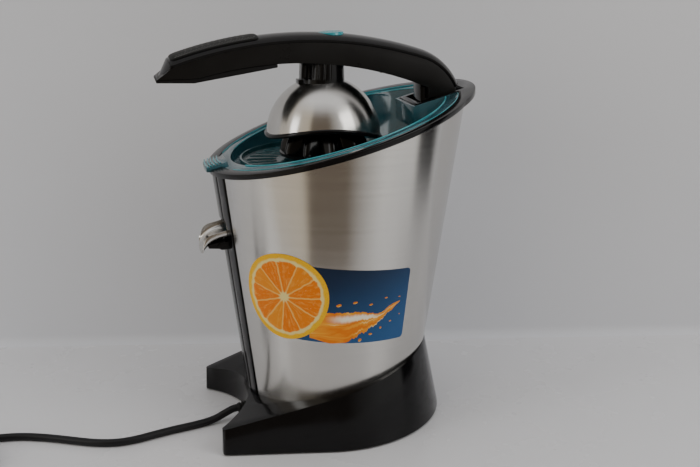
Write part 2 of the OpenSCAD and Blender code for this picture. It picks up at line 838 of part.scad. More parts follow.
// The arm's side view below its cover, drawn smaller by inset
function arm_outline(inset) = concat(
  arc(arm_top_c, arm_top_r - cover_skin - inset, nose_a + inset * 0.1, bend_start, 14),
  arc(bend_c, bend_r - cover_skin - inset, bend_start + 4, bend_end, 6),
  [[foot_back - 1 - inset, foot_z + inset], [foot_front + inset, foot_z - 2 + inset],
   [foot_front + inset, under_z(foot_front) + inset]],
  [for (i = [0:36]) let (y = foot_front - i * (foot_front + 100) / 36) [y + inset * 0.5, under_z(y) + inset]],
  [[nose_tip[0] + inset, nose_tip[1] + inset]]);
function under_z(y) = arm_under_c[1] + sqrt(arm_under_r * arm_under_r - (y - arm_under_c[0]) * (y - arm_under_c[0]));

module arm_solid(w) { side_plate(w) polygon(arm_outline(0)); }

module tail_clearance() {
  // the tail stays inside the well's radius, and its middle stays clear of the bracket
  difference() {
    translate([-big / 2, pin_y, pin_z - big]) cube([big, big, big + 2]);
    across_x(pin_y, pin_z, well_r - 1.2, big + 2, round_fn);
  }
}

module arm_frame() {
  color(BLACK) on_axis() difference() {
    arm_solid(arm_w);
    side_plate(arm_w - 2 * arm_wall) polygon(concat(
      arc(arm_top_c, arm_top_r, nose_a + 1, bend_start, 10), arc(bend_c, bend_r, bend_start + 4, 60, 4),
      [[foot_back - 6, foot_z + 14], [bracket_front - 18, foot_z + 14], [bracket_front - 18, under_z(bracket_front - 18) + arm_wall]],
      [for (i = [0:8]) let (y = bracket_front - 18 - i * (bracket_front + 82) / 8) [y, under_z(y) + arm_wall]],
      [[nose_tip[0] + 4, nose_tip[1] + arm_wall + 1]]));
    // slot that the bracket stands in, open at the bottom and towards the tail
    translate([-bracket_half_w - 0.4, bracket_front - 16, pin_z - 60]) cube([2 * bracket_half_w + 0.8, 200, 60 + bracket_back - pin_y + 1]);
    across_x(pin_y, pin_z, 10, 2 * bracket_half_w + 0.8, 64);
    across_x(pin_y, pin_z, pin_r, arm_w - 3);
    tail_clearance();
    translate([0, button_y, 0]) translate([0, 0, under_z(0) - 8]) cylinder(h = 20, r = 3, $fn = 48);
    for (y = arm_screw_ys) {
      translate([0, y, under_z(y) - 6]) cylinder(h = 14, r = 1.6, $fn = 32);
      translate([0, y, under_z(y) - 6]) cylinder(h = 7, r = 3.1, $fn = 32);
    }
  }
}

function crown(x) = crown_h * (1 - pow(2 * x / arm_w, 2));

module cover_section(r0) {
  steps = 10;
  polygon(concat([[r0 - cover_skin, -arm_w / 2]],
    [for (i = [0:steps]) let (x = -arm_w / 2 + i * arm_w / steps) [r0 + crown(x), x]],
    [[r0 - cover_skin, arm_w / 2]]));
}

module arm_cover() {
  color(BLACK) on_axis() difference() {
    arc_sweep(arm_top_c, nose_a, bend_start) cover_section(arm_top_r);
    translate([0, button_y, rim_h]) cylinder(h = 200, r = button_r + 0.3, $fn = 64);
  }
}

module arm_tail_cover() {
  color(BLACK) on_axis() difference() {
    arc_sweep(bend_c, bend_start, bend_end) cover_section(bend_r);
    tail_clearance();
    // notch that clears the bracket when the arm is up
    translate([-bracket_half_w - 0.4, pin_y, pin_z - 50]) cube([2 * bracket_half_w + 0.8, 60, 53]);
  }
}

module grip_pad() {
  steps = 8;
  half = 14.5;
  color(RUBBER) on_axis() arc_sweep(arm_top_c, pad_from, pad_to) polygon(concat(
    [for (i = [0:steps]) let (x = -half + i * 2 * half / steps) [arm_top_r + crown(x) + 2.2 - 0.8 * pow(x / half, 4), x]],
    [for (i = [0:steps]) let (x = half - i * 2 * half / steps) [arm_top_r + crown(x) + 0.02, x]]));
}

module lower_grip() {
  back = -38;
  color(DARK_PLASTIC) on_axis() side_plate(arm_w - 2) polygon(concat(
    [[nose_tip[0] - 1, nose_tip[1] - 2.6], [-104, under_z(-104) - 2.9], [back, under_z(back) - 2.8]],
    [for (i = [0:5]) let (y = back - i * (100 + back) / 5) [y, under_z(y) - 0.02]],
    [[nose_tip[0] - 1, nose_tip[1] - 0.05]]));
}

module hinge_pin() {
  color(STEEL) on_axis() across_x(pin_y, pin_z, pin_r, arm_w - 3);
}

module arm_screws() {
  color(STEEL) on_axis() for (y = arm_screw_ys) translate([0, y, under_z(y) - 0.5]) {
    cylinder(h = 1.5 - eps, r = 2.8, $fn = 32);
    cylinder(h = 8, r = 1.6 - slip, $fn = 32);
  }
}

module release_button() {
  color(TEAL) on_axis() translate([0, button_y, 0]) {
    translate([0, 0, button_top - button_head]) cylinder(h = button_head, r = button_r, $fn = 64);
    translate([0, 0, button_top - 17]) cylinder(h = 11, r = 2.8, $fn = 48);
  }
}

module button_spring() {
  bottom = under_z(button_y) + arm_wall + 0.7;
  color(STEEL) on_axis() translate([0, button_y, bottom])
    coil_spring(6, 0.6, button_top - button_head - bottom, 4);
}

// ---------- dome ----------

// The dome's own frame: its centre at the origin, tipped up at the front
module dome_frame() { translate([0, 0, dome_z]) rotate([-dome_tilt, 0, 0]) children(); }

module above_arch(lower) {
  difference() {
    translate([-100, -100, -lower + 0.3]) cube([200, 200, 200]);
    across_x(0, arch_h - arch_r - lower, arch_r, 250, round_fn);
  }
}

module dome_shell() {
  color(STEEL) on_axis() dome_frame() intersection() {
    difference() {
      sphere(r = dome_r, $fn = round_fn);
      sphere(r = dome_r - dome_t, $fn = round_fn);
    }
    above_arch(0);
  }
}

module dome_liner() {
  outer = dome_r - dome_t - 0.05;
  color(BLACK) on_axis() dome_frame() intersection() {
    difference() {
      sphere(r = outer, $fn = round_fn);
      sphere(r = outer - liner_t, $fn = round_fn);
    }
    above_arch(0);
  }
}

module dome_rim() {
  color(BLACK) on_axis() dome_frame() difference() {
    intersection() {
      translate([0, 0, -trim_h]) cylinder(h = 30, r = dome_r + 1.8, $fn = round_fn);
      above_arch(trim_h);
      union() {
        sphere(r = dome_r + 1.8, $fn = round_fn);
        translate([0, 0, -10]) cylinder(h = 10, r = dome_r + 1.8, $fn = round_fn);
      }
    }
    above_arch(0);
    sphere(r = dome_r - dome_t - liner_t, $fn = round_fn);
    translate([0, 0, -20]) cylinder(h = 20, r = dome_r - dome_t - liner_t, $fn = round_fn);
  }
}

module dome_holder() {
  flutes = 24;
  color(BLACK) on_axis() difference() {
    intersection() {
      dome_frame() difference() {
        union() {
          translate([0, 0, 40]) cylinder(h = 30, r = neck_r, $fn = round_fn);
          translate([0, 0, 38]) cylinder(h = 7.5, r = neck_r + 3, $fn = round_fn);
        }
        sphere(r = dome_r + 0.02, $fn = round_fn);
        for (i = [0:flutes - 1]) rotate([0, 0, i * 360 / flutes]) translate([neck_r + 0.5, 0, 46])
          cylinder(h = 30, r = 1.2, $fn = 16);
      }
      side_plate(100) polygon(concat(
        [[60, 200], [60, under_z(60) - 0.02]],
        [for (i = [0:12]) let (y = 50 - i * 100 / 12) [y, under_z(y) - 0.02]],
        [[-60, under_z(-60) - 0.02], [-60, 200]]));
    }
    translate([0, button_y, 0]) cylinder(h = 500, r = 3, $fn = 48);
    dome_frame() translate([-6.2, -big / 2 - neck_r + 4, 20]) cube([12.4, big / 2, 100]);
  }
}

module dome_latch() {
  color(BLACK) on_axis() intersection() {
    dome_frame() difference() {
      union() {
        translate([-6, -neck_r - 2.5, 38]) cube([12, 6, 40]);
        translate([-6, -neck_r - 5, 38]) cube([12, 6, 6]);
      }
      sphere(r = dome_r + 0.3, $fn = round_fn);
    }
    side_plate(100) polygon([[-60, 200], [20, 200], [20, under_z(-10) - 1.5], [-60, under_z(-10) - 1.5]]);
  }
}

// ---------- cord ----------

module strain_relief() {
  // from the mouth inwards: a taper, the part in the wall, and a lip behind the wall
  taper = bay_y + bay_r + axis_y - gland_mouth_y - 1;
  color(RUBBER) translate([gland_x, gland_mouth_y, gland_z]) rotate([-90, 0, 0]) {
    cylinder(h = taper, r1 = cord_r + 0.8, r2 = gland_r - 0.1, $fn = 48);
    translate([0, 0, taper - eps]) cylinder(h = gland_len - taper, r = gland_r - 0.1, $fn = 48);
    translate([0, 0, taper + base_wall + 2.2]) cylinder(h = 2, r = gland_r + 0.8, $fn = 48);
  }
}

function unit(v) = v / norm(v);
function route_dir(pts, i) = unit(pts[min(i + 1, len(pts) - 1)] - pts[max(i - 1, 0)]);
// Catmull-Rom points along a route
function spline(pts, per) = concat([for (i = [0:len(pts) - 2]) for (j = [0:per - 1]) let (
    a = pts[max(i - 1, 0)], b = pts[i], c = pts[i + 1], d = pts[min(i + 2, len(pts) - 1)], t = j / per)
    0.5 * (2 * b + (c - a) * t + (2 * a - 5 * b + 4 * c - d) * t * t + (3 * b - 3 * c + d - a) * t * t * t)],
  [pts[len(pts) - 1]]);
function tube_points(path, r, sides) = [for (i = [0:len(path) - 1]) let (
    t = route_dir(path, i), side = unit(cross(t, [0, 0, 1])), up = cross(side, t))
    for (k = [0:sides - 1]) path[i] + r * (cos(360 * k / sides) * side + sin(360 * k / sides) * up)];
function tube_faces(n, sides) = concat(
  [[for (k = [0:sides - 1]) sides - 1 - k]],
  [for (i = [0:n - 2]) for (k = [0:sides - 1]) let (k2 = (k + 1) % sides)
    [i * sides + k, i * sides + k2, (i + 1) * sides + k2, (i + 1) * sides + k]],
  [[for (k = [0:sides - 1]) (n - 1) * sides + k]]);

module tube(path, r, sides) {
  polyhedron(points = tube_points(path, r, sides), faces = tube_faces(len(path), sides));
}

// A wound spring with flat-ground ends inside its height
module coil_spring(r, wire_r, h, turns) {
  per = 12;
  n = turns * per;
  tube([for (i = [0:n]) [r * cos(i * 360 / per), r * sin(i * 360 / per),
    wire_r + 0.1 + (h - 2 * wire_r - 0.2) * i / n]], wire_r, 6);
}

module mains_cord() { color(BLACK) tube(spline(cord_route, 2), cord_r, 10); }

module cord_tail() { color(BLACK) tube(spline(tail_route, 2), cord_r, 10); }

module cord_coil() {
  color(BLACK) translate([coil_pos[0], coil_pos[1], 0]) rotate_extrude($fn = round_fn)
    translate([coil_mid_r - cord_d, 0.02]) square([2 * cord_d, 2 * cord_d]);
}

// Flat two-pin plug lying on its side, pins away from the coil
module mains_plug() {
  half_w = 17.5;
  thick = 14;
  color(BLACK) translate(plug_pos) {
    rotate([90, 0, 0]) cylinder(h = 12, r1 = cord_r + 0.8, r2 = 6.5, $fn = 48);
    difference() {
      translate([0, 0, -thick / 2]) linear_extrude(thick)
        polygon([[-7, -11], [7, -11], [half_w, -26], [half_w, -36], [-half_w, -36], [-half_w, -26]]);
      for (side = [-1, 1]) translate([side * 26, -14, -20]) cylinder(h = 40, r = 14, $fn = 64);
    }
    for (side = [-1, 1]) translate([side * 9.5, -55, 0]) rotate([-90, 0, 0]) cylinder(h = 20, r = 2.4, $fn = 32);
  }
}

// ---------- the assembly ----------

base_stand();
bottom_cover();
rubber_feet();
cover_screws();
steel_shell();
front_panel();
label_sheet();
rim_collar();
hinge_bracket();
chassis();
gearbox_housing();
gearbox_cover();
gearbox_screws();
motor_can();
motor_stator();
motor_rotor();
cooling_fan();
intermediate_gear();
output_gear();
drive_shaft();
thrust_washer();
shaft_tower();
shaft_bush();
return_spring();
micro_switch();
capacitor();
terminal_block();
cord_clamp();
juice_tray();
strainer();
small_reamer();
large_reamer();
spout_hinge();
spout_lip();
spout_lever();
arm_frame();
arm_cover();
arm_tail_cover();
grip_pad();
lower_grip();
hinge_pin();
arm_screws();
release_button();
button_spring();
dome_latch();
dome_holder();
dome_shell();
dome_liner();
dome_rim();
strain_relief();
mains_cord();
cord_coil();
cord_tail();
mains_plug();
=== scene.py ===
"""Electric citrus press: looks, finishes and stage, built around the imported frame."""

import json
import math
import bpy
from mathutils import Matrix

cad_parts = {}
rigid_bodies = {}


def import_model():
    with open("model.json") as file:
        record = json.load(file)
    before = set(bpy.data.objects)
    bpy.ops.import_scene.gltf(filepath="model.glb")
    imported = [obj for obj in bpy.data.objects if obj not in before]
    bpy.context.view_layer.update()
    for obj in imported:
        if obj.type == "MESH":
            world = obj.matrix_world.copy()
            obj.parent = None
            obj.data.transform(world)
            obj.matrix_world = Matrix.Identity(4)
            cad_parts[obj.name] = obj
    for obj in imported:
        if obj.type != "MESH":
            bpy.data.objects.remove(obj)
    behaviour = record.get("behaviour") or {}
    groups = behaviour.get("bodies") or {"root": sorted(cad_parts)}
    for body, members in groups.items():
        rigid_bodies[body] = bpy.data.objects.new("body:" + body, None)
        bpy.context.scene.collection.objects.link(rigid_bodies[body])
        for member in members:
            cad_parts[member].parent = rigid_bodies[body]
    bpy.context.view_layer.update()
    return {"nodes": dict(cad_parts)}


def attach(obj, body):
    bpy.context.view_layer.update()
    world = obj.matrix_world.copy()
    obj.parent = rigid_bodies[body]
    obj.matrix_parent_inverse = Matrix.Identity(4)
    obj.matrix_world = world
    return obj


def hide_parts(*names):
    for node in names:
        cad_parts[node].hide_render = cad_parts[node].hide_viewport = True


bl_info = {
    "name": "Citrus Press",
    "version": (1, 0, 0),
    "blender": (4, 5, 0),
    "location": "3D View > Sidebar > Citrus Press",
    "description": "Builds an electric citrus press with its steel shell, tray, arm, dome and lead",
    "category": "Object",
}

import bmesh
import bpy
from bpy.props import FloatProperty, FloatVectorProperty, IntProperty, PointerProperty
from mathutils import Matrix, Vector

for leftover in list(bpy.data.objects):
    bpy.data.objects.remove(leftover, do_unlink=True)
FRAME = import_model()

MM = 0.001
AXIS_Y = 3.0  # the reamer's axis, in millimetres along Y
CENTRE_Y = -1.8  # the shell cone's centre line at table level, from the reamer's axis
ARM_TOP = ((-25.0, -1.3), 325.0)
ARM_BEND = ((66.55, 260.13), 48.0)
BEND_FROM, BEND_TO, NOSE = math.radians(19.3), math.radians(67.0), math.radians(-17.3)
PIN = (92.0, 280.938)


# ---------- settings ----------


def length(name, text, value, low=0.0, high=1.0):
    return FloatProperty(name=name, description=text, default=value, min=low, max=high, subtype="DISTANCE",
        unit="LENGTH")


def angle(name, text, degrees):
    return FloatProperty(name=name, description=text, default=math.radians(degrees), subtype="ANGLE",
        unit="ROTATION")


def tint(name, text, value):
    return FloatVectorProperty(name=name, description=text, default=value, size=3, min=0.0, max=1.0,
        subtype="COLOR")


class CitrusBodySizes(bpy.types.PropertyGroup):
    """Sizes of the shell, rim and base."""

    foot_radius: length("Foot radius", "Radius of the shell's cone at table level", 0.071)
    rim_radius: length("Rim radius", "Radius of the shell's cone at the height of the rim", 0.104)
    rim_height: length("Rim height", "Height of the slanted rim over the reamer's axis", 0.248)
    deck_height: length("Deck height", "Height of the base's deck over the reamer's axis", 0.048)
    slope: angle("Slope", "Slope of the rim and of the deck", 14.0)
    lean: angle("Lean", "Backward lean of the shell's cone", 2.3)
    sheet: length("Sheet", "Thickness of the steel sheet", 0.0008)
    edge: length("Edge softness", "Rounding of the moulded edges", 0.0007)


class CitrusArmSizes(bpy.types.PropertyGroup):
    """Sizes of the arm and its grip."""

    width: length("Width", "Width of the arm", 0.036)
    crown: length("Crown", "How far the arm's cover rises in the middle", 0.004)
    skin: length("Skin", "Depth of the cover's sides", 0.003)
    stitch_gap: length("Stitch gap", "Distance between the pips along the grip pad", 0.0022)


class CitrusDomeSizes(bpy.types.PropertyGroup):
    """Sizes of the dome, the reamer and the strainer."""

    radius: length("Dome radius", "Radius of the steel dome", 0.047)
    tilt: angle("Dome tilt", "How far the dome is tipped up at the front", 4.5)
    arch_radius: length("Arch radius", "Radius of the arch in the dome's lower edge", 0.110)
    arch_height: length("Arch height", "Height of the arch in the dome's lower edge", 0.0105)
    ribs: IntProperty(name="Reamer ribs", description="Number of ribs round the reamer", default=10, min=6,
        max=16)
    bars: IntProperty(name="Strainer bars", description="Number of bars round the strainer", default=30,
        min=20, max=90)


class CitrusCordSizes(bpy.types.PropertyGroup):
    """Sizes of the mains lead."""

    diameter: length("Diameter", "Diameter of the mains lead", 0.0065)
    coil_gap: length("Turn spacing", "Distance between the turns of the coil", 0.0065)


class CitrusColours(bpy.types.PropertyGroup):
    """Colours of the finishes."""

    steel: tint("Steel", "Brushed stainless sheet", (0.60, 0.585, 0.56))
    black: tint("Black", "Glossy black moulding", (0.0030, 0.0028, 0.0032))
    satin: tint("Satin black", "Satin black moulding", (0.0060, 0.0058, 0.0062))
    teal: tint("Teal", "See-through tray plastic", (0.05, 0.19, 0.24))
    strainer: tint("Strainer", "Dark tray plastic", (0.015, 0.085, 0.10))
    rind: tint("Rind", "Outer edge of the printed fruit", (0.90, 0.50, 0.012))
    pulp: tint("Pulp", "Flesh of the printed fruit", (0.84, 0.20, 0.006))
    pith: tint("Pith", "Pale parts of the printed fruit", (0.88, 0.72, 0.28))
    panel_dark: tint("Panel, dark end", "Top of the printed panel", (0.012, 0.022, 0.05))
    panel_light: tint("Panel, light end", "Bottom of the printed panel", (0.025, 0.10, 0.26))


class CitrusStageSettings(bpy.types.PropertyGroup):
    """Colours and light of the stage."""

    wall: tint("Wall", "Colour of the wall", (0.755, 0.775, 0.825))
    table: tint("Table", "Colour of the table", (0.77, 0.775, 0.80))
    room: FloatProperty(name="Room light", description="Strength of the room's even light", default=1.2,
        min=0.0, max=4.0)
    window: FloatProperty(name="Window light", description="Power of the large soft light", default=9.0,
        min=0.0, max=200.0, unit="POWER")


class CitrusPressSettings(bpy.types.PropertyGroup):
    """All settings of the citrus press."""

    body: PointerProperty(type=CitrusBodySizes)
    arm: PointerProperty(type=CitrusArmSizes)
    dome: PointerProperty(type=CitrusDomeSizes)
    cord: PointerProperty(type=CitrusCordSizes)
    colours: PointerProperty(type=CitrusColours)
    stage: PointerProperty(type=CitrusStageSettings)


def settings():
    return bpy.context.scene.citrus_press


# ---------- shader helpers ----------


def new_node(tree, kind, **values):
    """A node with its plain settings and input defaults."""
    node = tree.nodes.new(kind)
    for key, value in values.items():
        if hasattr(node, key):
            setattr(node, key, value)
        else:
            node.inputs[key].default_value = value
    return node


def maths(tree, operation, a, b=0.0, clamp=False):
    node = tree.nodes.new("ShaderNodeMath")
    node.operation = operation
    node.use_clamp = clamp
    for socket, value in zip(node.inputs, (a, b)):
        if isinstance(value, (int, float)):
            socket.default_value = value
        else:
            tree.links.new(value, socket)
    return node.outputs[0]


def mixed(tree, mask, a, b):
    """Colour a where the mask is 0, b where it is 1."""
    node = tree.nodes.new("ShaderNodeMix")
    node.data_type = "RGBA"
    for name, value in ((0, mask), (6, a), (7, b)):
        socket = node.inputs[name]
        if isinstance(value, (int, float)):
            socket.default_value = value
        elif isinstance(value, tuple):
            socket.default_value = value if len(value) == 4 else (*value, 1.0)
        else:
            tree.links.new(value, socket)
    return node.outputs[2]


def spread(tree, value, low, high, to_low=0.0, to_high=1.0, soft=False):
    node = new_node(tree, "ShaderNodeMapRange")
    node.interpolation_type = "SMOOTHSTEP" if soft else "LINEAR"
    tree.links.new(value, node.inputs["Value"])
    for name, number in zip(("From Min", "From Max", "To Min", "To Max"), (low, high, to_low, to_high)):
        node.inputs[name].default_value = number
    return node.outputs["Result"]


def shader_group(name, inputs, outputs):
    """An empty shader group with typed sockets: F for a value, V for a vector, C for a colour."""
    kinds = {"F": "NodeSocketFloat", "V": "NodeSocketVector", "C": "NodeSocketColor"}
    tree = bpy.data.node_groups.new(name, "ShaderNodeTree")
    for label, kind, value in inputs:
        socket = tree.interface.new_socket(label, in_out="INPUT", socket_type=kinds[kind])
        if value is not None:
            socket.default_value = value
    for label, kind in outputs:
        tree.interface.new_socket(label, in_out="OUTPUT", socket_type=kinds[kind])
    return tree, tree.nodes.new("NodeGroupInput").outputs, tree.nodes.new("NodeGroupOutput").inputs


def grain_group():
    """Fine brush lines that run along the first coordinate, with a few longer scratches."""
    tree, given, out = shader_group("Brush lines",
        [("Place", "V", None), ("Lines", "F", 900.0), ("Run", "F", 14.0)],
        [("Height", "F"), ("Roughness", "F"), ("Shade", "F")])
    parts = new_node(tree, "ShaderNodeSeparateXYZ")
    tree.links.new(given["Place"], parts.inputs[0])
    join = new_node(tree, "ShaderNodeCombineXYZ")
    tree.links.new(maths(tree, "MULTIPLY", parts.outputs[0], given["Run"]), join.inputs[0])
    tree.links.new(maths(tree, "MULTIPLY", parts.outputs[1], given["Lines"]), join.inputs[1])
    lines = new_node(tree, "ShaderNodeTexNoise", Scale=1.0, Detail=3.0)
    tree.links.new(join.outputs[0], lines.inputs["Vector"])
    wide = new_node(tree, "ShaderNodeVectorMath", operation="MULTIPLY")
    wide.inputs[1].default_value = (0.4, 0.12, 1.0)
    tree.links.new(join.outputs[0], wide.inputs[0])
    slow = new_node(tree, "ShaderNodeTexNoise", Scale=1.0, Detail=2.0)
    tree.links.new(wide.outputs[0], slow.inputs["Vector"])
    tree.links.new(lines.outputs["Fac"], out["Height"])
    both = maths(tree, "ADD", maths(tree, "MULTIPLY", lines.outputs["Fac"], 0.5),
        maths(tree, "MULTIPLY", slow.outputs["Fac"], 0.5))
    tree.links.new(both, out["Roughness"])
    tree.links.new(slow.outputs["Fac"], out["Shade"])
    return tree


def smudge_group():
    """Cloudy handling marks and sparse specks of dust."""
    tree, given, out = shader_group("Handling marks",
        [("Place", "V", None), ("Scale", "F", 28.0), ("Dust scale", "F", 420.0)],
        [("Smudge", "F"), ("Dust", "F")])
    cloud = new_node(tree, "ShaderNodeTexNoise", Detail=5.0, Roughness=0.62)
    tree.links.new(given["Place"], cloud.inputs["Vector"])
    tree.links.new(given["Scale"], cloud.inputs["Scale"])
    cells = new_node(tree, "ShaderNodeTexVoronoi")
    tree.links.new(given["Place"], cells.inputs["Vector"])
    tree.links.new(given["Dust scale"], cells.inputs["Scale"])
    tree.links.new(spread(tree, cloud.outputs["Fac"], 0.35, 0.70, soft=True), out["Smudge"])
    speck = spread(tree, cells.outputs["Distance"], 0.10, 0.05)
    rare = spread(tree, cells.outputs["Color"], 0.80, 0.86)
    tree.links.new(maths(tree, "MULTIPLY", speck, rare), out["Dust"])
    return tree


def skin_group():
    """Fine moulded texture: small rounded grains."""
    tree, given, out = shader_group("Moulded skin", [("Place", "V", None), ("Scale", "F", 1500.0)],
        [("Height", "F")])
    cells = new_node(tree, "ShaderNodeTexVoronoi", feature="SMOOTH_F1")
    tree.links.new(given["Place"], cells.inputs["Vector"])
    tree.links.new(given["Scale"], cells.inputs["Scale"])
    noise = new_node(tree, "ShaderNodeTexNoise", Detail=2.0)
    tree.links.new(given["Place"], noise.inputs["Vector"])
    tree.links.new(given["Scale"], noise.inputs["Scale"])
    tree.links.new(maths(tree, "ADD", cells.outputs["Distance"],
        maths(tree, "MULTIPLY", noise.outputs["Fac"], 0.5)), out["Height"])
    return tree


def fruit_group():
    """A sliced fruit round the centre of its place: rind, pith, segments with thin walls and a pale core."""
    tree, given, out = shader_group(
        "Sliced fruit",
        [("Place", "V", None), ("Rind", "C", (0.86, 0.48, 0.03, 1)), ("Pith", "C", (0.88, 0.72, 0.28, 1)),
        ("Pulp", "C", (0.8, 0.22, 0.015, 1)), ("Segments", "F", 11.0)],
        [("Color", "C"), ("Height", "F")],
    )
    parts = new_node(tree, "ShaderNodeSeparateXYZ")
    tree.links.new(given["Place"], parts.inputs[0])
    u, v = parts.outputs[0], parts.outputs[1]
    wobble = new_node(tree, "ShaderNodeTexNoise", Scale=16.0, Detail=3.0)
    tree.links.new(given["Place"], wobble.inputs["Vector"])
    shift = maths(tree, "MULTIPLY", maths(tree, "SUBTRACT", wobble.outputs["Fac"], 0.5), 0.035)
    radius = maths(tree, "ADD", maths(tree, "SQRT",
        maths(tree, "ADD", maths(tree, "MULTIPLY", u, u), maths(tree, "MULTIPLY", v, v))), shift)
    around = maths(tree, "ADD", maths(tree, "ARCTAN2", v, u), maths(tree, "MULTIPLY", shift, 3.0))
    count = maths(tree, "MULTIPLY", maths(tree, "DIVIDE", around, 2 * math.pi), given["Segments"])
    saw = maths(tree, "ABSOLUTE", maths(tree, "SUBTRACT",
        maths(tree, "FRACT", maths(tree, "ADD", count, 20.0)), 0.5))
    # distance from the nearest wall between two segments, as an arc length
    wall = maths(tree, "MULTIPLY", maths(tree, "SUBTRACT", 0.5, saw),
        maths(tree, "DIVIDE", maths(tree, "MULTIPLY", radius, 2 * math.pi), given["Segments"]))
    # long juice cells that run outwards
    stretch = new_node(tree, "ShaderNodeCombineXYZ")
    tree.links.new(maths(tree, "MULTIPLY", count, 5.5), stretch.inputs[0])
    tree.links.new(maths(tree, "MULTIPLY", radius, 11.0), stretch.inputs[1])
    cells = new_node(tree, "ShaderNodeTexNoise", Scale=1.0, Detail=4.0, Roughness=0.65)
    tree.links.new(stretch.outputs[0], cells.inputs["Vector"])
    fine = new_node(tree, "ShaderNodeTexNoise", Scale=90.0, Detail=2.0)
    tree.links.new(given["Place"], fine.inputs["Vector"])
    pale_pulp = mixed(tree, spread(tree, cells.outputs["Fac"], 0.50, 0.74), given["Pulp"], (0.93, 0.42, 0.07))
    flesh = mixed(tree, spread(tree, fine.outputs["Fac"], 0.66, 0.76, 0.0, 0.55), pale_pulp,
        (0.97, 0.74, 0.45))
    yellow = mixed(tree, spread(tree, maths(tree, "FRACT",
        maths(tree, "MULTIPLY", maths(tree, "FLOOR", maths(tree, "ADD", count, 20.0)), 0.37)), 0.55, 0.95,
        0.0, 0.45), flesh, (0.86, 0.40, 0.02))
    thin = mixed(tree, spread(tree, wall, 0.0035, 0.0085, 1.0, 0.0, True), yellow, (0.92, 0.50, 0.12))
    star = maths(tree, "ADD", radius, maths(tree, "MULTIPLY", wall, 1.3))
    core = mixed(tree, spread(tree, star, 0.036, 0.066, 1.0, 0.0, True), thin, given["Pith"])
    ring = mixed(tree, spread(tree, maths(tree, "SUBTRACT", radius,
        maths(tree, "MULTIPLY", spread(tree, wall, 0.0, 0.03), 0.012)), 0.286, 0.296, 0.0, 1.0, True),
        core, given["Pith"])
    pores = mixed(tree, spread(tree, fine.outputs["Fac"], 0.56, 0.66, 0.0, 0.4), given["Rind"],
        (0.62, 0.26, 0.0))
    rind = mixed(tree, spread(tree, radius, 0.318, 0.334, 0.0, 1.0, True), ring, pores)
    tree.links.new(rind, out["Color"])
    tree.links.new(cells.outputs["Fac"], out["Height"])
    return tree


GROUPS = {}


def group(tree, maker, **values):
    """Places a shared group, making it the first time."""
    if maker not in GROUPS:
        GROUPS[maker] = maker()
    node = tree.nodes.new("ShaderNodeGroup")
    node.node_tree = GROUPS[maker]
    for key, value in values.items():
        node.inputs[key.replace("_", " ")].default_value = value
    return node


def new_material(name):
    """A material with its shader, and the piece's own coordinates."""
    material = bpy.data.materials.new(name)
    material.use_nodes = True
    tree = material.node_tree
    shader = tree.nodes["Principled BSDF"]
    place = tree.nodes.new("ShaderNodeTexCoord").outputs["Object"]
    return material, tree, shader, place


def bump(tree, shader, height, strength, distance):
    node = new_node(tree, "ShaderNodeBump", Strength=strength, Distance=distance)
    tree.links.new(height, node.inputs["Height"])
    tree.links.new(node.outputs[0], shader.inputs["Normal"])


def set_plain(shader, **values):
    for key, value in values.items():
        socket = shader.inputs[key.replace("_", " ")]
        socket.default_value = (*value, 1.0) if isinstance(value,
            (tuple, list)) and len(value) == 3 else value


def brushed_steel(name, colour, roughness, stretch, lines, own_map):
    material, tree, shader, place = new_material(name)
    grain = group(tree, grain_group, Lines=lines)
    marks = group(tree, smudge_group, Scale=18.0, Dust_scale=260.0)
    tree.links.new(place, marks.inputs["Place"])
    if own_map:
        uv = new_node(tree, "ShaderNodeUVMap", uv_map="Grain")
        tree.links.new(uv.outputs[0], grain.inputs["Place"])
        tangent = new_node(tree, "ShaderNodeTangent", direction_type="UV_MAP", uv_map="Grain")
        tree.links.new(tangent.outputs[0], shader.inputs["Tangent"])
        set_plain(shader, Anisotropic=stretch, Anisotropic_Rotation=0.25)
    else:
        tree.links.new(place, grain.inputs["Place"])
    set_plain(shader, Metallic=1.0)
    base = tuple(colour)
    dark = tuple(c * 0.95 for c in base)
    tree.links.new(mixed(tree, spread(tree, grain.outputs["Shade"], 0.3, 0.7), dark, base),
        shader.inputs["Base Color"])
    rough = maths(tree, "ADD", spread(tree, grain.outputs["Roughness"], 0.3, 0.7, roughness - 0.02,
        roughness + 0.02), maths(tree, "MULTIPLY", marks.outputs["Smudge"], 0.035))
    tree.links.new(rough, shader.inputs["Roughness"])
    bump(tree, shader, grain.outputs["Height"], 0.04, 0.00003)
    return material


def moulded(name, colour, roughness, coat, skin_depth, skin_scale=1500.0, dust=0.10, soft=0.0, shine=0.22):
    """Moulded plastic or rubber with a fine skin, handling marks and a little dust."""
    material, tree, shader, place = new_material(name)
    marks = group(tree, smudge_group)
    skin = group(tree, skin_group, Scale=skin_scale)
    for node in (marks, skin):
        tree.links.new(place, node.inputs["Place"])
    base = tuple(colour)
    lighter = tuple(min(1.0, c * 1.4 + 0.002) for c in base)
    cloudy = mixed(tree, maths(tree, "MULTIPLY", marks.outputs["Smudge"], 0.5), base, lighter)
    tree.links.new(mixed(tree, maths(tree, "MULTIPLY", marks.outputs["Dust"], dust), cloudy,
        (0.32, 0.31, 0.30)), shader.inputs["Base Color"])
    tree.links.new(spread(tree, marks.outputs["Smudge"], 0.0, 1.0, roughness, roughness + 0.07),
        shader.inputs["Roughness"])
    set_plain(shader, Coat_Weight=coat, Coat_Roughness=0.04, Sheen_Weight=soft, Specular_IOR_Level=shine)
    bump(tree, shader, skin.outputs["Height"], skin_depth, 0.00008)
    return material


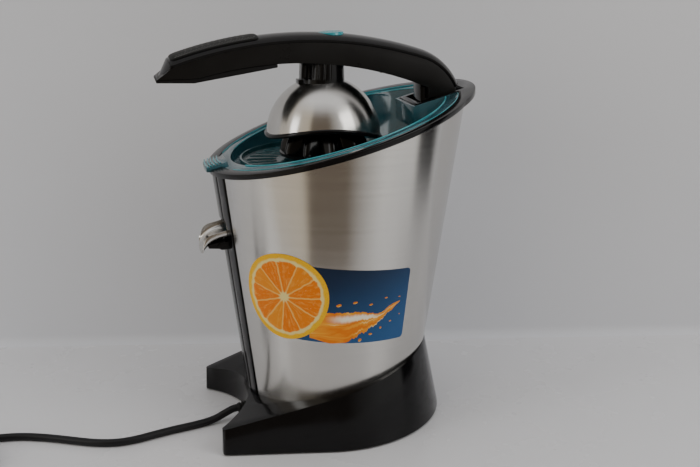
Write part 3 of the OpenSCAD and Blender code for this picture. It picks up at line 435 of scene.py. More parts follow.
def see_through(name, colour, clear, roughness):
    """Tinted see-through plastic with faint flow lines."""
    material, tree, shader, place = new_material(name)
    marks = group(tree, smudge_group, Scale=40.0)
    tree.links.new(place, marks.inputs["Place"])
    base = tuple(colour)
    pale = tuple(min(1.0, c * 1.25 + 0.02) for c in base)
    tree.links.new(mixed(tree, marks.outputs["Smudge"], base, pale), shader.inputs["Base Color"])
    tree.links.new(spread(tree, marks.outputs["Smudge"], 0.0, 1.0, roughness, roughness + 0.06),
        shader.inputs["Roughness"])
    set_plain(shader, Transmission_Weight=clear, IOR=1.45, Coat_Weight=0.4, Coat_Roughness=0.03)
    return material


def printed_fruit():
    material, tree, shader, _ = new_material("Printed fruit")
    c = settings().colours
    fruit = group(tree, fruit_group, Rind=(*c.rind, 1), Pith=(*c.pith, 1), Pulp=(*c.pulp, 1))
    uv = new_node(tree, "ShaderNodeUVMap", uv_map="Print")
    tree.links.new(uv.outputs[0], fruit.inputs["Place"])
    tree.links.new(fruit.outputs["Color"], shader.inputs["Base Color"])
    set_plain(shader, Roughness=0.4, Specular_IOR_Level=0.16)
    bump(tree, shader, fruit.outputs["Height"], 0.04, 0.00005)
    return material


def printed_panel():
    material, tree, shader, place = new_material("Printed panel")
    c = settings().colours
    uv = new_node(tree, "ShaderNodeUVMap", uv_map="Print")
    parts = new_node(tree, "ShaderNodeSeparateXYZ")
    tree.links.new(uv.outputs[0], parts.inputs[0])
    across = maths(tree, "SUBTRACT", maths(tree, "MULTIPLY", parts.outputs[0], 0.35), parts.outputs[1])
    fall = spread(tree, across, -0.15, 0.75, soft=True)
    cloud = new_node(tree, "ShaderNodeTexNoise", Scale=60.0, Detail=4.0)
    tree.links.new(place, cloud.inputs["Vector"])
    moved = maths(tree, "ADD", fall, maths(tree, "MULTIPLY",
        maths(tree, "SUBTRACT", cloud.outputs["Fac"], 0.5), 0.05))
    tree.links.new(mixed(tree, moved, tuple(c.panel_dark), tuple(c.panel_light)), shader.inputs["Base Color"])
    tree.links.new(spread(tree, cloud.outputs["Fac"], 0.3, 0.7, 0.30, 0.38), shader.inputs["Roughness"])
    set_plain(shader, Specular_IOR_Level=0.16)
    return material


def printed_juice():
    material, tree, shader, _ = new_material("Printed juice")
    uv = new_node(tree, "ShaderNodeUVMap", uv_map="Flow")
    parts = new_node(tree, "ShaderNodeSeparateXYZ")
    tree.links.new(uv.outputs[0], parts.inputs[0])
    join = new_node(tree, "ShaderNodeCombineXYZ")
    tree.links.new(maths(tree, "MULTIPLY", parts.outputs[0], 2.2), join.inputs[0])
    tree.links.new(maths(tree, "MULTIPLY", parts.outputs[1], 4.5), join.inputs[1])
    flow = new_node(tree, "ShaderNodeTexNoise", Scale=1.0, Detail=2.5, Distortion=0.7)
    tree.links.new(join.outputs[0], flow.inputs["Vector"])
    body = mixed(tree, spread(tree, flow.outputs["Fac"], 0.40, 0.60), (0.78, 0.20, 0.01), (0.92, 0.42, 0.03))
    light = mixed(tree, spread(tree, flow.outputs["Fac"], 0.56, 0.66, soft=True), body, (0.96, 0.78, 0.42))
    # a bright crest that runs just under the upper edge
    crest_low = spread(tree, parts.outputs[1], 0.60, 0.76, soft=True)
    crest_high = spread(tree, parts.outputs[1], 0.80, 0.95, 1.0, 0.0, True)
    ends = maths(tree, "MULTIPLY", spread(tree, parts.outputs[0], 0.15, 0.40, soft=True),
        spread(tree, parts.outputs[0], 0.62, 0.80, 1.0, 0.0, True))
    crest = maths(tree, "MULTIPLY", maths(tree, "MULTIPLY", crest_low, crest_high), ends)
    tree.links.new(mixed(tree, crest, light, (0.97, 0.90, 0.74)), shader.inputs["Base Color"])
    set_plain(shader, Roughness=0.4, Specular_IOR_Level=0.16)
    return material


FINISHES = {}


def finish(name):
    """The material for one of the record's slots, or one of the printed finishes."""
    if name not in FINISHES:
        c = settings().colours
        steel = tuple(c.steel)
        makers = {
            "steel_brushed": lambda: brushed_steel("Brushed shell steel", steel, 0.20, 0.80, 2600.0, True),
            "dome_steel": lambda: brushed_steel("Brushed dome steel", tuple(x * 0.97 for x in steel), 0.21,
            0.80, 2200.0, True),
            "steel_bright": lambda: brushed_steel("Satin bright steel",
            tuple(min(1, x * 1.08) for x in steel), 0.22, 0.0, 900.0, False),
            "black_gloss": lambda: moulded("Glossy black moulding", c.black, 0.13, 0.05, 0.02),
            "black_satin": lambda: moulded("Satin black skin", (0.0065, 0.006, 0.0058), 0.27, 0.0, 0.08),
            "black_matte": lambda: moulded("Matt black moulding", c.satin, 0.42, 0.0, 0.18),
            "rubber": lambda: moulded("Soft black rubber", (0.006, 0.006, 0.006), 0.6, 0.0, 0.3, 1100.0,
            0.15, 0.05),
            "cord_black": lambda: moulded("Black cable sheath", (0.010, 0.010, 0.011), 0.38, 0.0, 0.12,
            900.0),
            "teal_clear": lambda: see_through("Clear teal plastic", c.teal, 0.55, 0.10),
            "teal_edge": lambda: see_through("Bright teal edge", (0.035, 0.40, 0.47), 0.25, 0.16),
            "teal_dark": lambda: see_through("Dark teal plastic", c.strainer, 0.15, 0.22),
            "label": printed_fruit,
            "label_panel": printed_panel,
            "label_juice": printed_juice,
            "copper": lambda: brushed_steel("Enamelled copper windings", (0.52, 0.22, 0.09), 0.34, 0.0,
            1800.0, False),
            "bronze": lambda: brushed_steel("Sintered bronze", (0.48, 0.33, 0.15), 0.42, 0.0, 500.0, False),
            "gear_white": lambda: moulded("Natural acetal", (0.74, 0.71, 0.62), 0.36, 0.0, 0.12),
            "orange_film": lambda: moulded("Film capacitor case", (0.62, 0.22, 0.02), 0.35, 0.0, 0.1),
            "stitch_grey": lambda: moulded("Grey grip pips", (0.20, 0.20, 0.20), 0.5, 0.0, 0.1),
        }
        FINISHES[name] = makers[name]()
    return FINISHES[name]


# ---------- mesh helpers ----------


def link(obj):
    bpy.context.scene.collection.objects.link(obj)
    return obj


def build(name, points, faces, maps=None, merge=1e-6):
    """A mesh object from points in millimetres. maps gives each point's UV in named UV maps."""
    mesh = bpy.data.meshes.new(name)
    mesh.from_pydata([Vector(p) * MM for p in points], [], faces)
    for label, values in (maps or {}).items():
        layer = mesh.uv_layers.new(name=label)
        for loop in mesh.loops:
            layer.data[loop.index].uv = values[loop.vertex_index]
    bm = bmesh.new()
    bm.from_mesh(mesh)
    bmesh.ops.remove_doubles(bm, verts=bm.verts, dist=merge)
    bmesh.ops.dissolve_degenerate(bm, dist=1e-7, edges=bm.edges)
    bmesh.ops.recalc_face_normals(bm, faces=bm.faces)
    bm.to_mesh(mesh)
    bm.free()
    return link(bpy.data.objects.new(name, mesh))


def sheet_faces(rows, columns, closed=False):
    wide = columns if closed else columns - 1
    return [(r * columns + c, r * columns + (c + 1) % columns, (r + 1) * columns + (c + 1) % columns,
        (r + 1) * columns + c) for r in range(rows - 1) for c in range(wide)]


def loft(name, rings, closed_ends=True, maps=None):
    """A skin over rings of the same number of points."""
    n = len(rings[0])
    faces = sheet_faces(len(rings), n, True)
    if closed_ends:
        faces += [tuple(range(n)), tuple((len(rings) - 1) * n + i for i in range(n))]
    return build(name, [p for ring in rings for p in ring], faces, maps)


def turned(name, profile, centre, segments=72, axis=None):
    """A turned piece from (radius, height) pairs, about +Z or another axis through centre."""
    turn = Vector((0, 0, 1)).rotation_difference(Vector(axis)).to_matrix() if axis else Matrix.Identity(3)
    rings = []
    for radius, height in profile:
        rings.append([Vector(centre) + turn @ Vector((radius * math.cos(a), radius * math.sin(a), height))
            for a in (2 * math.pi * i / segments for i in range(segments))])
    return loft(name, rings)


def softened(node, name, width=0.5, segments=2, sharp=32.0, joined=True):
    """A copy of a frame node with rounded edges; its loose triangles are joined unless it is pierced flat."""
    mesh = FRAME["nodes"][node].data.copy()
    mesh.name = name
    obj = link(bpy.data.objects.new(name, mesh))
    bm = bmesh.new()
    bm.from_mesh(mesh)
    bmesh.ops.remove_doubles(bm, verts=bm.verts, dist=2e-6)
    bmesh.ops.dissolve_degenerate(bm, dist=1e-6, edges=bm.edges)
    if joined:
        bmesh.ops.dissolve_limit(bm, angle_limit=math.radians(0.3), verts=bm.verts, edges=bm.edges)
    bm.to_mesh(mesh)
    bm.free()
    if width:
        bevel = obj.modifiers.new("Soft edges", "BEVEL")
        bevel.width = width * MM
        bevel.segments = segments
        bevel.limit_method = "ANGLE"
        bevel.angle_limit = math.radians(sharp)
        bevel.use_clamp_overlap = True
        bevel.harden_normals = False
    return obj


def baked(obj):
    """Turns the object's modifiers into its plain mesh."""
    if obj.modifiers:
        graph = bpy.context.evaluated_depsgraph_get()
        mesh = bpy.data.meshes.new_from_object(obj.evaluated_get(graph), preserve_all_data_layers=True,
            depsgraph=graph)
        mesh.name = obj.name
        obj.modifiers.clear()
        obj.data = mesh
    return obj


def settle(obj, body, slot, nodes=(), material=None, sharp=35.0, keep_materials=False):
    """Finishes a piece: plain mesh, shading, the finish named by the slot or material, body and the frame
    nodes it stands for.
    """
    baked(obj)
    if not keep_materials:
        obj.data.materials.clear()
        obj.data.materials.append(finish(material or slot))
    obj.data.shade_smooth()
    obj.data.set_sharp_from_angle(angle=math.radians(sharp))
    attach(obj, body)
    if nodes:
        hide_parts(*nodes)
    return obj


def dress(node, material):
    """Gives a carried-over frame node its finish."""
    obj = FRAME["nodes"][node]
    obj.data.materials.clear()
    obj.data.materials.append(finish(material))


TREES = {}


def repeat_tree():
    """Geometry nodes that set one shape at every point, turned and sized by the points' attributes."""
    if "repeat" in TREES:
        return TREES["repeat"]
    tree = bpy.data.node_groups.new("Repeated shapes", "GeometryNodeTree")
    face = tree.interface
    face.new_socket("Places", in_out="INPUT", socket_type="NodeSocketGeometry")
    ids = {}
    for label, kind in (("Shape", "NodeSocketObject"), ("Size", "NodeSocketFloat"),
            ("Finish", "NodeSocketMaterial")):
        ids[label] = face.new_socket(label, in_out="INPUT", socket_type=kind).identifier
    face.new_socket("Shapes", in_out="OUTPUT", socket_type="NodeSocketGeometry")
    given, out = tree.nodes.new("NodeGroupInput"), tree.nodes.new("NodeGroupOutput")
    shape = tree.nodes.new("GeometryNodeObjectInfo")
    copies = tree.nodes.new("GeometryNodeInstanceOnPoints")
    turn = tree.nodes.new("GeometryNodeInputNamedAttribute")
    turn.data_type = "FLOAT_VECTOR"
    turn.inputs["Name"].default_value = "turn"
    stretch = tree.nodes.new("GeometryNodeInputNamedAttribute")
    stretch.data_type = "FLOAT"
    stretch.inputs["Name"].default_value = "stretch"
    euler = tree.nodes.new("FunctionNodeEulerToRotation")
    size = tree.nodes.new("ShaderNodeMath")
    size.operation = "MULTIPLY"
    real = tree.nodes.new("GeometryNodeRealizeInstances")
    paint = tree.nodes.new("GeometryNodeSetMaterial")
    wire = tree.links.new
    wire(given.outputs["Places"], copies.inputs["Points"])
    wire(given.outputs["Shape"], shape.inputs["Object"])
    wire(shape.outputs["Geometry"], copies.inputs["Instance"])
    wire(turn.outputs["Attribute"], euler.inputs[0])
    wire(euler.outputs[0], copies.inputs["Rotation"])
    wire(stretch.outputs["Attribute"], size.inputs[0])
    wire(given.outputs["Size"], size.inputs[1])
    wire(size.outputs[0], copies.inputs["Scale"])
    wire(copies.outputs[0], real.inputs[0])
    wire(real.outputs[0], paint.inputs["Geometry"])
    wire(given.outputs["Finish"], paint.inputs["Material"])
    wire(paint.outputs[0], out.inputs[0])
    TREES["repeat"] = (tree, ids)
    return TREES["repeat"]


def repeated(name, shape, places, body, slot, nodes=(), material=None, size=1.0, sharp=35.0):
    """One piece made of a shape repeated at places: (point in mm, turn as Euler angles, stretch)."""
    mesh = bpy.data.meshes.new(name)
    mesh.from_pydata([Vector(p[0]) * MM for p in places], [], [])
    turns = mesh.attributes.new("turn", "FLOAT_VECTOR", "POINT")
    turns.data.foreach_set("vector", [x for p in places for x in p[1]])
    stretch = mesh.attributes.new("stretch", "FLOAT", "POINT")
    stretch.data.foreach_set("value", [float(p[2]) for p in places])
    obj = link(bpy.data.objects.new(name, mesh))
    tree, ids = repeat_tree()
    modifier = obj.modifiers.new("Repeat", "NODES")
    modifier.node_group = tree
    modifier[ids["Shape"]] = shape
    modifier[ids["Size"]] = size
    modifier[ids["Finish"]] = finish(material or slot)
    baked(obj)
    bpy.data.objects.remove(shape)
    return settle(obj, body, slot, nodes, material, sharp)


# ---------- shapes shared by the pieces ----------


def shell_point(around, out, along):
    """A point of the shell's leaning cone, out from its skin, along its centre line. Angles are from +X."""
    b = settings().body
    foot, flare, lean = b.foot_radius / MM, (b.rim_radius - b.foot_radius) / b.rim_height, b.lean
    r = foot + out + flare * along
    return (
        r * math.cos(around),
        r * math.sin(around) * math.cos(lean) + along * math.sin(lean) + CENTRE_Y + AXIS_Y,
        -r * math.sin(around) * math.sin(lean) + along * math.cos(lean),
    )


def along_to(around, out, height, sloped=True):
    """How far along the cone a slanted or level layer at that height cuts it."""
    b = settings().body
    foot, flare, lean = b.foot_radius / MM + out, (b.rim_radius - b.foot_radius) / b.rim_height, b.lean
    rise = math.tan(b.slope) if sloped else 0.0
    sine = math.sin(around)
    a, bb = -foot * sine * math.sin(lean), math.cos(lean) - flare * sine * math.sin(lean)
    c, d = foot * sine * math.cos(lean) + CENTRE_Y, flare * sine * math.cos(lean) + math.sin(lean)
    return (height + rise * c - a) / (bb - rise * d)


def wedge_angle(half, along):
    """The cone's own angle from the front for an angle measured at the reamer's axis."""
    b = settings().body
    r = b.foot_radius / MM + (b.rim_radius - b.foot_radius) / b.rim_height * along
    c = CENTRE_Y + along * math.sin(b.lean)
    return half - math.asin(c * math.sin(half) / r)


def cone_sheet(name, columns, low, high, rows, maps=("Grain",)):
    """A sheet on the cone between two slanted layers. columns are (angle from the front, out)."""
    points, grain = [], []
    for i in range(rows + 1):
        t = i / rows
        for front, out in columns:
            around = -math.pi / 2 + front
            s0, s1 = along_to(around, out, low), along_to(around, out, high)
            s = s0 + (s1 - s0) * t
            around = -math.pi / 2 + (wedge_angle(front, s) if abs(front) < 1.0 else front)
            s0, s1 = along_to(around, out, low), along_to(around, out, high)
            s = s0 + (s1 - s0) * t
            points.append(shell_point(around, out, s))
            grain.append((front * 0.088, s * MM))
    return build(name, points, sheet_faces(rows + 1, len(columns)), {m: grain for m in maps})


def solid(obj, thickness, offset=-1.0):
    wall = obj.modifiers.new("Wall", "SOLIDIFY")
    wall.thickness = thickness * MM
    wall.offset = offset
    wall.use_even_offset = True
    return obj


def rounded(obj, width, segments=2, sharp=40.0):
    bevel = obj.modifiers.new("Soft edges", "BEVEL")
    bevel.width = width * MM
    bevel.segments = segments
    bevel.limit_method = "ANGLE"
    bevel.angle_limit = math.radians(sharp)
    return obj


def arm_frame_at(t):
    """Centre, reach, outward and forward directions of the arm's top line, from nose (0) to tail (1)."""
    (c1, r1), (c2, r2) = ARM_TOP, ARM_BEND
    first, second = r1 * (BEND_FROM - NOSE), r2 * (BEND_TO - BEND_FROM)
    d = t * (first + second)
    if d < first:
        a, c, r = NOSE + d / r1, c1, r1
    else:
        a, c, r = BEND_FROM + (d - first) / r2, c2, r2
    return c, r, a


def arm_point(t, x, out):
    """A point over the arm's top line, out from it, at x across."""
    c, r, a = arm_frame_at(t)
    return (x, c[0] + (r + out) * math.sin(a) + AXIS_Y, c[1] + (r + out) * math.cos(a))


def arm_t(degrees):
    """Where along the top line an angle of the long arc lies."""
    first, second = ARM_TOP[1] * (BEND_FROM - NOSE), ARM_BEND[1] * (BEND_TO - BEND_FROM)
    return ARM_TOP[1] * (math.radians(degrees) - NOSE) / (first + second)


def crown_at(x):
    a = settings().arm
    return a.crown / MM * (1 - (2 * x / (a.width / MM)) ** 2)


def dome_matrix():
    d, b = settings().dome, settings().body
    return Matrix.Translation((0, AXIS_Y, b.rim_height / MM - 3.7)) @ Matrix.Rotation(-d.tilt, 4, "X")


def arch_at(y):
    d = settings().dome
    r = d.arch_radius / MM
    return max(0.3, d.arch_height / MM - r + math.sqrt(max(0.0, r * r - y * y)))


def smooth_line(points, per):
    """Catmull-Rom points through a route."""
    line = []
    for i in range(len(points) - 1):
        a, b, c, d = (Vector(points[max(0, min(len(points) - 1, i + k))]) for k in (-1, 0, 1, 2))
        for j in range(per):
            t = j / per
            line.append(0.5 * (2 * b + (c - a) * t + (2 * a - 5 * b + 4 * c - d) * t * t
                + (3 * b - 3 * c + d - a) * t**3))
    return line + [Vector(points[-1])]


def swept(name, line, radius, sides=14, radii=None):
    """A tube along a line of points."""
    rings = []
    for i, p in enumerate(line):
        t = (line[min(i + 1, len(line) - 1)] - line[max(i - 1, 0)]).normalized()
        side = t.cross(Vector((0, 0, 1))).normalized()
        up = side.cross(t)
        r = radii[i] if radii else radius
        rings.append([p + r * (math.cos(2 * math.pi * k / sides) * side
            + math.sin(2 * math.pi * k / sides) * up) for k in range(sides)])
    return loft(name, rings)


# ---------- the cord ----------

CORD_ROUTE = [
    (6, -83, 11), (6, -88, 10.3), (6.6, -95, 7.6), (8, -103, 4.7), (10, -112, 3.4), (13, -124, 3.3),
    (16, -140, 3.3), (20, -156, 3.3), (24, -171, 3.3), (25, -186, 3.3), (21, -202, 3.3), (13, -218, 3.3),
    (4, -234, 3.3), (-4, -250, 3.3), (-10, -266, 3.3), (-13, -283, 3.3), (-14, -298, 3.3), (-14, -312, 3.3)]
COIL_AT = (25.0, -328.0)
TAIL_ROUTE = [(-14, -340, 9.6), (-14, -350, 8.6), (-14, -362, 6), (-14, -376, 4.4), (-14, -388, 5.4),
    (-14, -398, 8)]
PLUG_AT = (-14.0, -398.0, 8.5)


def coil_line():
    """Four turns: outer and inner below, then inner and outer above, crossing in short ramps."""
    gap = settings().cord.coil_gap / MM
    outer, inner, low, high = 36 + gap / 2, 36 - gap / 2, 3.3, 3.3 + gap

    def ramp(t, a, b):
        x = max(0.0, min(1.0, (t - a) / (b - a)))
        return x * x * (3 - 2 * x)

    line = []
    for i in range(1, 4 * 40):
        t = i / 40
        r = outer + (inner - outer) * ramp(t, 0.78, 1.0) + (outer - inner) * ramp(t, 2.45, 2.7)
        z = low + (high - low) * ramp(t, 1.6, 1.8)
        a = math.pi + 2 * math.pi * t
        line.append(Vector((COIL_AT[0] + r * math.cos(a), COIL_AT[1] + r * math.sin(a), z)))
    return line


class CITRUS_OT_cord(bpy.types.Operator):
    """Lay the mains lead with its strain relief, coil tie and plug"""

    bl_idname = "citrus.cord"
    bl_label = "Mains lead"

    def execute(self, context):
        d = settings().cord.diameter / MM
        route = smooth_line(CORD_ROUTE, 4)
        route[-1] = Vector((-14.1, -316, 3.3))
        line = route + [Vector((-14.25, -324, 3.3))] + coil_line() + [Vector((-14.2, -332,
            9.7))] + smooth_line(TAIL_ROUTE, 4)
        curve = bpy.data.curves.new("mains_lead", "CURVE")
        curve.dimensions = "3D"
        spline = curve.splines.new("POLY")
        spline.points.add(len(line) - 1)
        for point, p in zip(spline.points, line):
            point.co = (*(p * MM), 1.0)
        curve.bevel_depth = d / 2 * MM
        curve.bevel_resolution = 5
        curve.use_fill_caps = True
        lead = link(bpy.data.objects.new("mains_lead", curve))
        curve.materials.append(finish("cord_black"))
        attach(lead, "housing")
        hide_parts("mains_cord", "cord_coil", "cord_tail")
        # strain relief: a ribbed taper that grips the lead where it leaves the base
        profile = [(0.0, -1.0), (d / 2 + 0.1, -1.0), (d / 2 + 0.9, 0.0)]
        for i in range(3):
            at = 0.6 + i * 2.3
            r = d / 2 + 0.95 + 0.4 * i
            profile += [(r, at), (r + 0.15, at + 0.2), (r + 0.15, at + 1.1), (r - 0.45, at + 1.4),
                (r - 0.45, at + 2.1)]
        profile += [(5.4, 8.0), (5.4, 24.0), (0.0, 24.0)]
        relief = turned("strain_relief_sleeve", profile, (6, -83, 11), 40, (0, 1, 0))
        settle(relief, "housing", "rubber", ("strain_relief",))
        plug = self.plug()
        pins = self.pins()
        tie = self.tie()
        return {"FINISHED"}

    def plug(self):
        """A moulded flat plug, lofted along its length."""
        x, y, z = PLUG_AT
        rings = []
        steps = [(0, 4.1, 4.1), (5, 4.6, 4.6), (10.5, 5.6, 5.6), (12, 8.0, 6.4), (14, 10.2, 6.9),
            (17, 10.6, 7.0), (21, 12.6, 7.0), (25, 16.0, 7.0), (28, 17.3, 7.0), (34.8, 17.4, 7.0),
            (35.7, 17.0, 6.7), (36, 16.2, 6.0)]
        for dist, wide, tall in steps:
            ring = []
            for i in range(40):
                a = 2 * math.pi * i / 40
                power = 2.0 if dist < 11 else 5.0
                ca, sa = math.cos(a), math.sin(a)
                k = (abs(ca) ** power + abs(sa) ** power) ** (-1 / power)
                ring.append((x + wide * k * ca, y - dist, z + tall * k * sa))
            rings.append(ring)
        return settle(loft("plug_body", rings), "housing", "cord_black", ("mains_plug",))

    def pins(self):
        x, y, z = PLUG_AT
        shape = turned("pin_shape", [(0.0, 0.0), (2.4, 0.0), (2.4, 17.4), (1.9, 18.7), (0.9, 19.0),
            (0.0, 19.0)], (0, 0, 0), 24, (0, -1, 0))
        places = [((x + side * 9.5, y - 36, z), (0, 0, 0), 1.0) for side in (-1, 1)]
        return repeated("plug_pins", shape, places, "housing", "steel_bright")

    def tie(self):
        """A flat strap round the four strands of the coil."""
        c = Vector((COIL_AT[0] + 36, COIL_AT[1], 6.6))
        rings = []
        for i in range(40):
            a = 2 * math.pi * i / 40
            k = (abs(math.cos(a)) ** 3.4 + abs(math.sin(a)) ** 3.4) ** (-1 / 3.4)
            inner, outer = 6.3, 6.9
            ring = [(inner, -4), (outer, -4), (outer, 4), (inner, 4)]
            rings.append([c + Vector((r * k * math.cos(a), w, r * k * math.sin(a) * 0.94)) for r, w in ring])
        points = [p for ring in rings for p in ring]
        faces = [(4 * i + j, 4 * i + (j + 1) % 4, 4 * ((i + 1) % 40) + (j + 1) % 4, 4 * ((i + 1) % 40) + j)
            for i in range(40) for j in range(4)]
        return settle(build("coil_tie", points, faces), "housing", "rubber", sharp=50)


# ---------- base ----------


class CITRUS_OT_base(bpy.types.Operator):
    """Make the forked base with its cover, feet and screws"""

    bl_idname = "citrus.base"
    bl_label = "Base"

    def execute(self, context):
        edge = settings().body.edge / MM
        settle(softened("base_stand", "base_moulding", edge, 3, 30), "housing", "black_gloss",
            ("base_stand",), sharp=30)
        settle(softened("bottom_cover", "base_cover", 0.4), "housing", "black_matte", ("bottom_cover",))
        shape = turned("foot_shape", [(0, 0), (5.6, 0), (6.6, 0.25), (7.4, 0.9), (8, 2.0), (8, 2.0),
            (3, 2.02), (3, 5.5), (0, 5.5)], (0, 0, 0), 40)
        places = [((x, y + AXIS_Y, 0), (0, 0, 0), 1.0) for x in (-60, 60) for y in (-88, 52)]
        repeated("rubber_foot_set", shape, places, "housing", "rubber", ("rubber_feet",))
        screw = self.screw()
        places = [((x, y + AXIS_Y, 0.7), (0, 0, 0.5 * i), 1.0) for i,
            (x, y) in enumerate(((-46, -36), (46, -36), (-52, 34), (52, 34)))]
        repeated("base_screw_set", screw, places, "housing", "steel_bright", ("cover_screws",))
        return {"FINISHED"}

    def screw(self):
        """A pan screw, head down, with a cross recess."""
        head = turned("screw_shape", [(0, 0), (2.4, 0), (3.1, 0.35), (3.2, 0.8), (3.2, 1.3), (1.6, 1.32),
            (1.6, 16), (1.0, 17.2), (0, 17.2)], (0, 0, 0), 24)
        for turn in (0, 90):
            bm = bmesh.new()
            bmesh.ops.create_cube(bm, size=1.0)
            bmesh.ops.scale(bm, vec=(3.6 * MM, 0.7 * MM, 1.6 * MM), verts=bm.verts)
            bmesh.ops.rotate(bm, matrix=Matrix.Rotation(math.radians(turn), 3, "Z"), verts=bm.verts)
            mesh = bpy.data.meshes.new("recess")
            bm.to_mesh(mesh)
            bm.free()
            cutter = link(bpy.data.objects.new("recess", mesh))
            cut = head.modifiers.new("Recess", "BOOLEAN")
            cut.object = cutter
            cut.solver = "EXACT"
            baked(head)
            bpy.data.objects.remove(cutter)
        return head


# ---------- shell, panel and label ----------


class CITRUS_OT_shell(bpy.types.Operator):
    """Make the steel shell, the black front panel and the printed label"""

    bl_idname = "citrus.shell"
    bl_label = "Shell, front panel and label"

    def execute(self, context):
        b = settings().body
        half = math.radians(20.0)
        count = 180
        columns = [(half + (2 * math.pi - 2 * half) * i / count, 0.0) for i in range(count + 1)]
        columns = [(a if a < math.pi else a - 2 * math.pi, o) for a, o in columns]
        shell = cone_sheet("steel_shell_sheet", columns, b.deck_height / MM - 3, b.rim_height / MM - 2.2, 24)
        layer = shell.data.uv_layers["Grain"]
        for loop in shell.data.loops:
            uv = layer.data[loop.index].uv
            if uv[0] < 0:
                uv[0] += 2 * math.pi * 0.088
        settle(solid(shell, b.sheet / MM), "housing", "steel_brushed", ("steel_shell",), sharp=50)
        self.panel()
        self.label()
        return {"FINISHED"}

    def panel(self):
        """The part's own panel with softened edges."""
        settle(softened("front_panel", "front_panel_moulding", 0.5, 3, 30), "housing", "black_gloss",
            ("front_panel",), sharp=30)

    def print_point(self, u, v, out):
        """A point of the label from its place in millimetres round the printed fruit's centre."""
        around = math.radians(-38.2) + u / 88.0
        return shell_point(around, out, along_to(around, out, 130.5, False) + v)

    def label(self):
        # the fruit: rings round its centre
        points, place = [], []
        rings, around = 14, 72
        for i in range(rings + 1):
            for k in range(around):
                r, a = 36.5 * i / rings, 2 * math.pi * k / around
                u, v = r * math.cos(a), r * math.sin(a)
                points.append(self.print_point(u, v, 0.34))
                place.append((u / 100, v / 100))
        disc = build("label_fruit", points, sheet_faces(rings + 1, around, True), {"Print": place})
        settle(solid(disc, 0.08), "housing", "label", ("label_sheet",))
        # the panel behind it, with rounded corners
        u0, u1, r = 4.0, 104.7, 3.2
        stops = [u0 + (u1 - r - u0) * i / 48 for i in range(49)] + [u1 - r + r * math.sin(math.radians(a))
            for a in (20, 40, 60, 75, 90)]
        points, place = [], []
        rows = 14
        for i in range(rows + 1):
            for u in stops:
                k = max(0.0, u - (u1 - r))
                inset = r - math.sqrt(max(0.0, r * r - k * k))
                top, low = 28.5 - 12 * (u - 14) / 91 - inset, -36.3 - 8 * (u - 14) / 91 + inset
                v = low + (top - low) * i / rows
                points.append(self.print_point(u, v, 0.16))
                place.append((u / 100, v / 100))
        panel = build("label_panel", points, sheet_faces(rows + 1, len(stops)), {"Print": place})
        settle(solid(panel, 0.08), "housing", "label", material="label_panel")
        self.juice()

    def juice(self):
        """The splash: a band between two wavy lines that runs out into a thin tongue, and loose drops."""
        upper = [(20, -18), (32, -12), (60, -13), (78, -17), (90, -11), (97, -10)]
        lower = [(20, -34), (38, -39), (50, -39), (64, -32), (76, -26), (86, -18), (97, -11)]

        def at(line, u):
            for (a, p), (b, q) in zip(line, line[1:]):
                if u <= b:
                    t = (u - a) / (b - a)
                    t = t * t * (3 - 2 * t) * 0.5 + t * 0.5
                    return p + (q - p) * t
            return line[-1][1]

        points, flow = [], []
        stops = [20 + 77 * i / 150 for i in range(151)]
        rows = 8
        for i in range(rows + 1):
            for u in stops:
                fade = min(1.0, max(0.0, (97 - u) / 20), max(0.0, (u - 32) / 10))
                top = at(upper, u) + fade * (0.35 * math.sin(u * 0.9) + 0.22 * math.sin(u * 2.1 + 1)
                    + 0.12 * math.sin(u * 4.3))
                low = at(lower, u) + fade * (0.8 * math.sin(u * 0.8 + 2) + 0.5 * math.sin(u * 2.3)
                    + 0.25 * math.sin(u * 4.1 + 1)) * (1.0 if u > 53 else 0.0)
                points.append(self.print_point(u, low + (top - low) * i / rows, 0.25))
                flow.append(((u - 20) / 77, i / rows))
        band = build("label_juice", points, sheet_faces(rows + 1, len(stops)), {"Flow": flow})
        settle(solid(band, 0.08), "housing", "label", material="label_juice")
        # loose drops: one row above the band and one below, smaller as they run out
        drops = []
        for k in range(5):
            size = 2.0 - 0.3 * k
            drops.append((44 + 13 * k, -6 + 2 * math.sin(2.4 * k), size, 0.6 * size))
            drops.append((62 + 9 * k, -38 + 4 * k, 0.8 * size, 0.6 * size))
        points, faces, flow = [], [], []
        for u, v, wide, tall in drops:
            start = len(points)
            points.append(self.print_point(u, v, 0.25))
            flow.append((0.5, 0.2))
            for k in range(14):
                a = 2 * math.pi * k / 14
                s = 1 + 0.18 * math.sin(2 * a + u)
                points.append(self.print_point(u + wide * s * math.cos(a), v + tall * s * math.sin(a), 0.25))
                flow.append((0.5 + 0.03 * math.cos(a), 0.2 + 0.05 * math.sin(a)))
            faces += [(start, start + 1 + k, start + 1 + (k + 1) % 14) for k in range(14)]
        settle(solid(build("label_drops", points, faces, {"Flow": flow}), 0.08), "housing", "label",
            material="label_juice")


# ---------- rim and tray ----------


class CITRUS_OT_rim(bpy.types.Operator):
    """Make the rim collar and the hinge bracket"""

    bl_idname = "citrus.rim"
    bl_label = "Rim collar and hinge"

    def execute(self, context):
        settle(softened("rim_collar", "rim_moulding", 0.35, 2, joined=False), "housing", "black_gloss",
            ("rim_collar",))
        settle(softened("hinge_bracket", "hinge_post", 0.6), "housing", "black_gloss", ("hinge_bracket",))
        return {"FINISHED"}


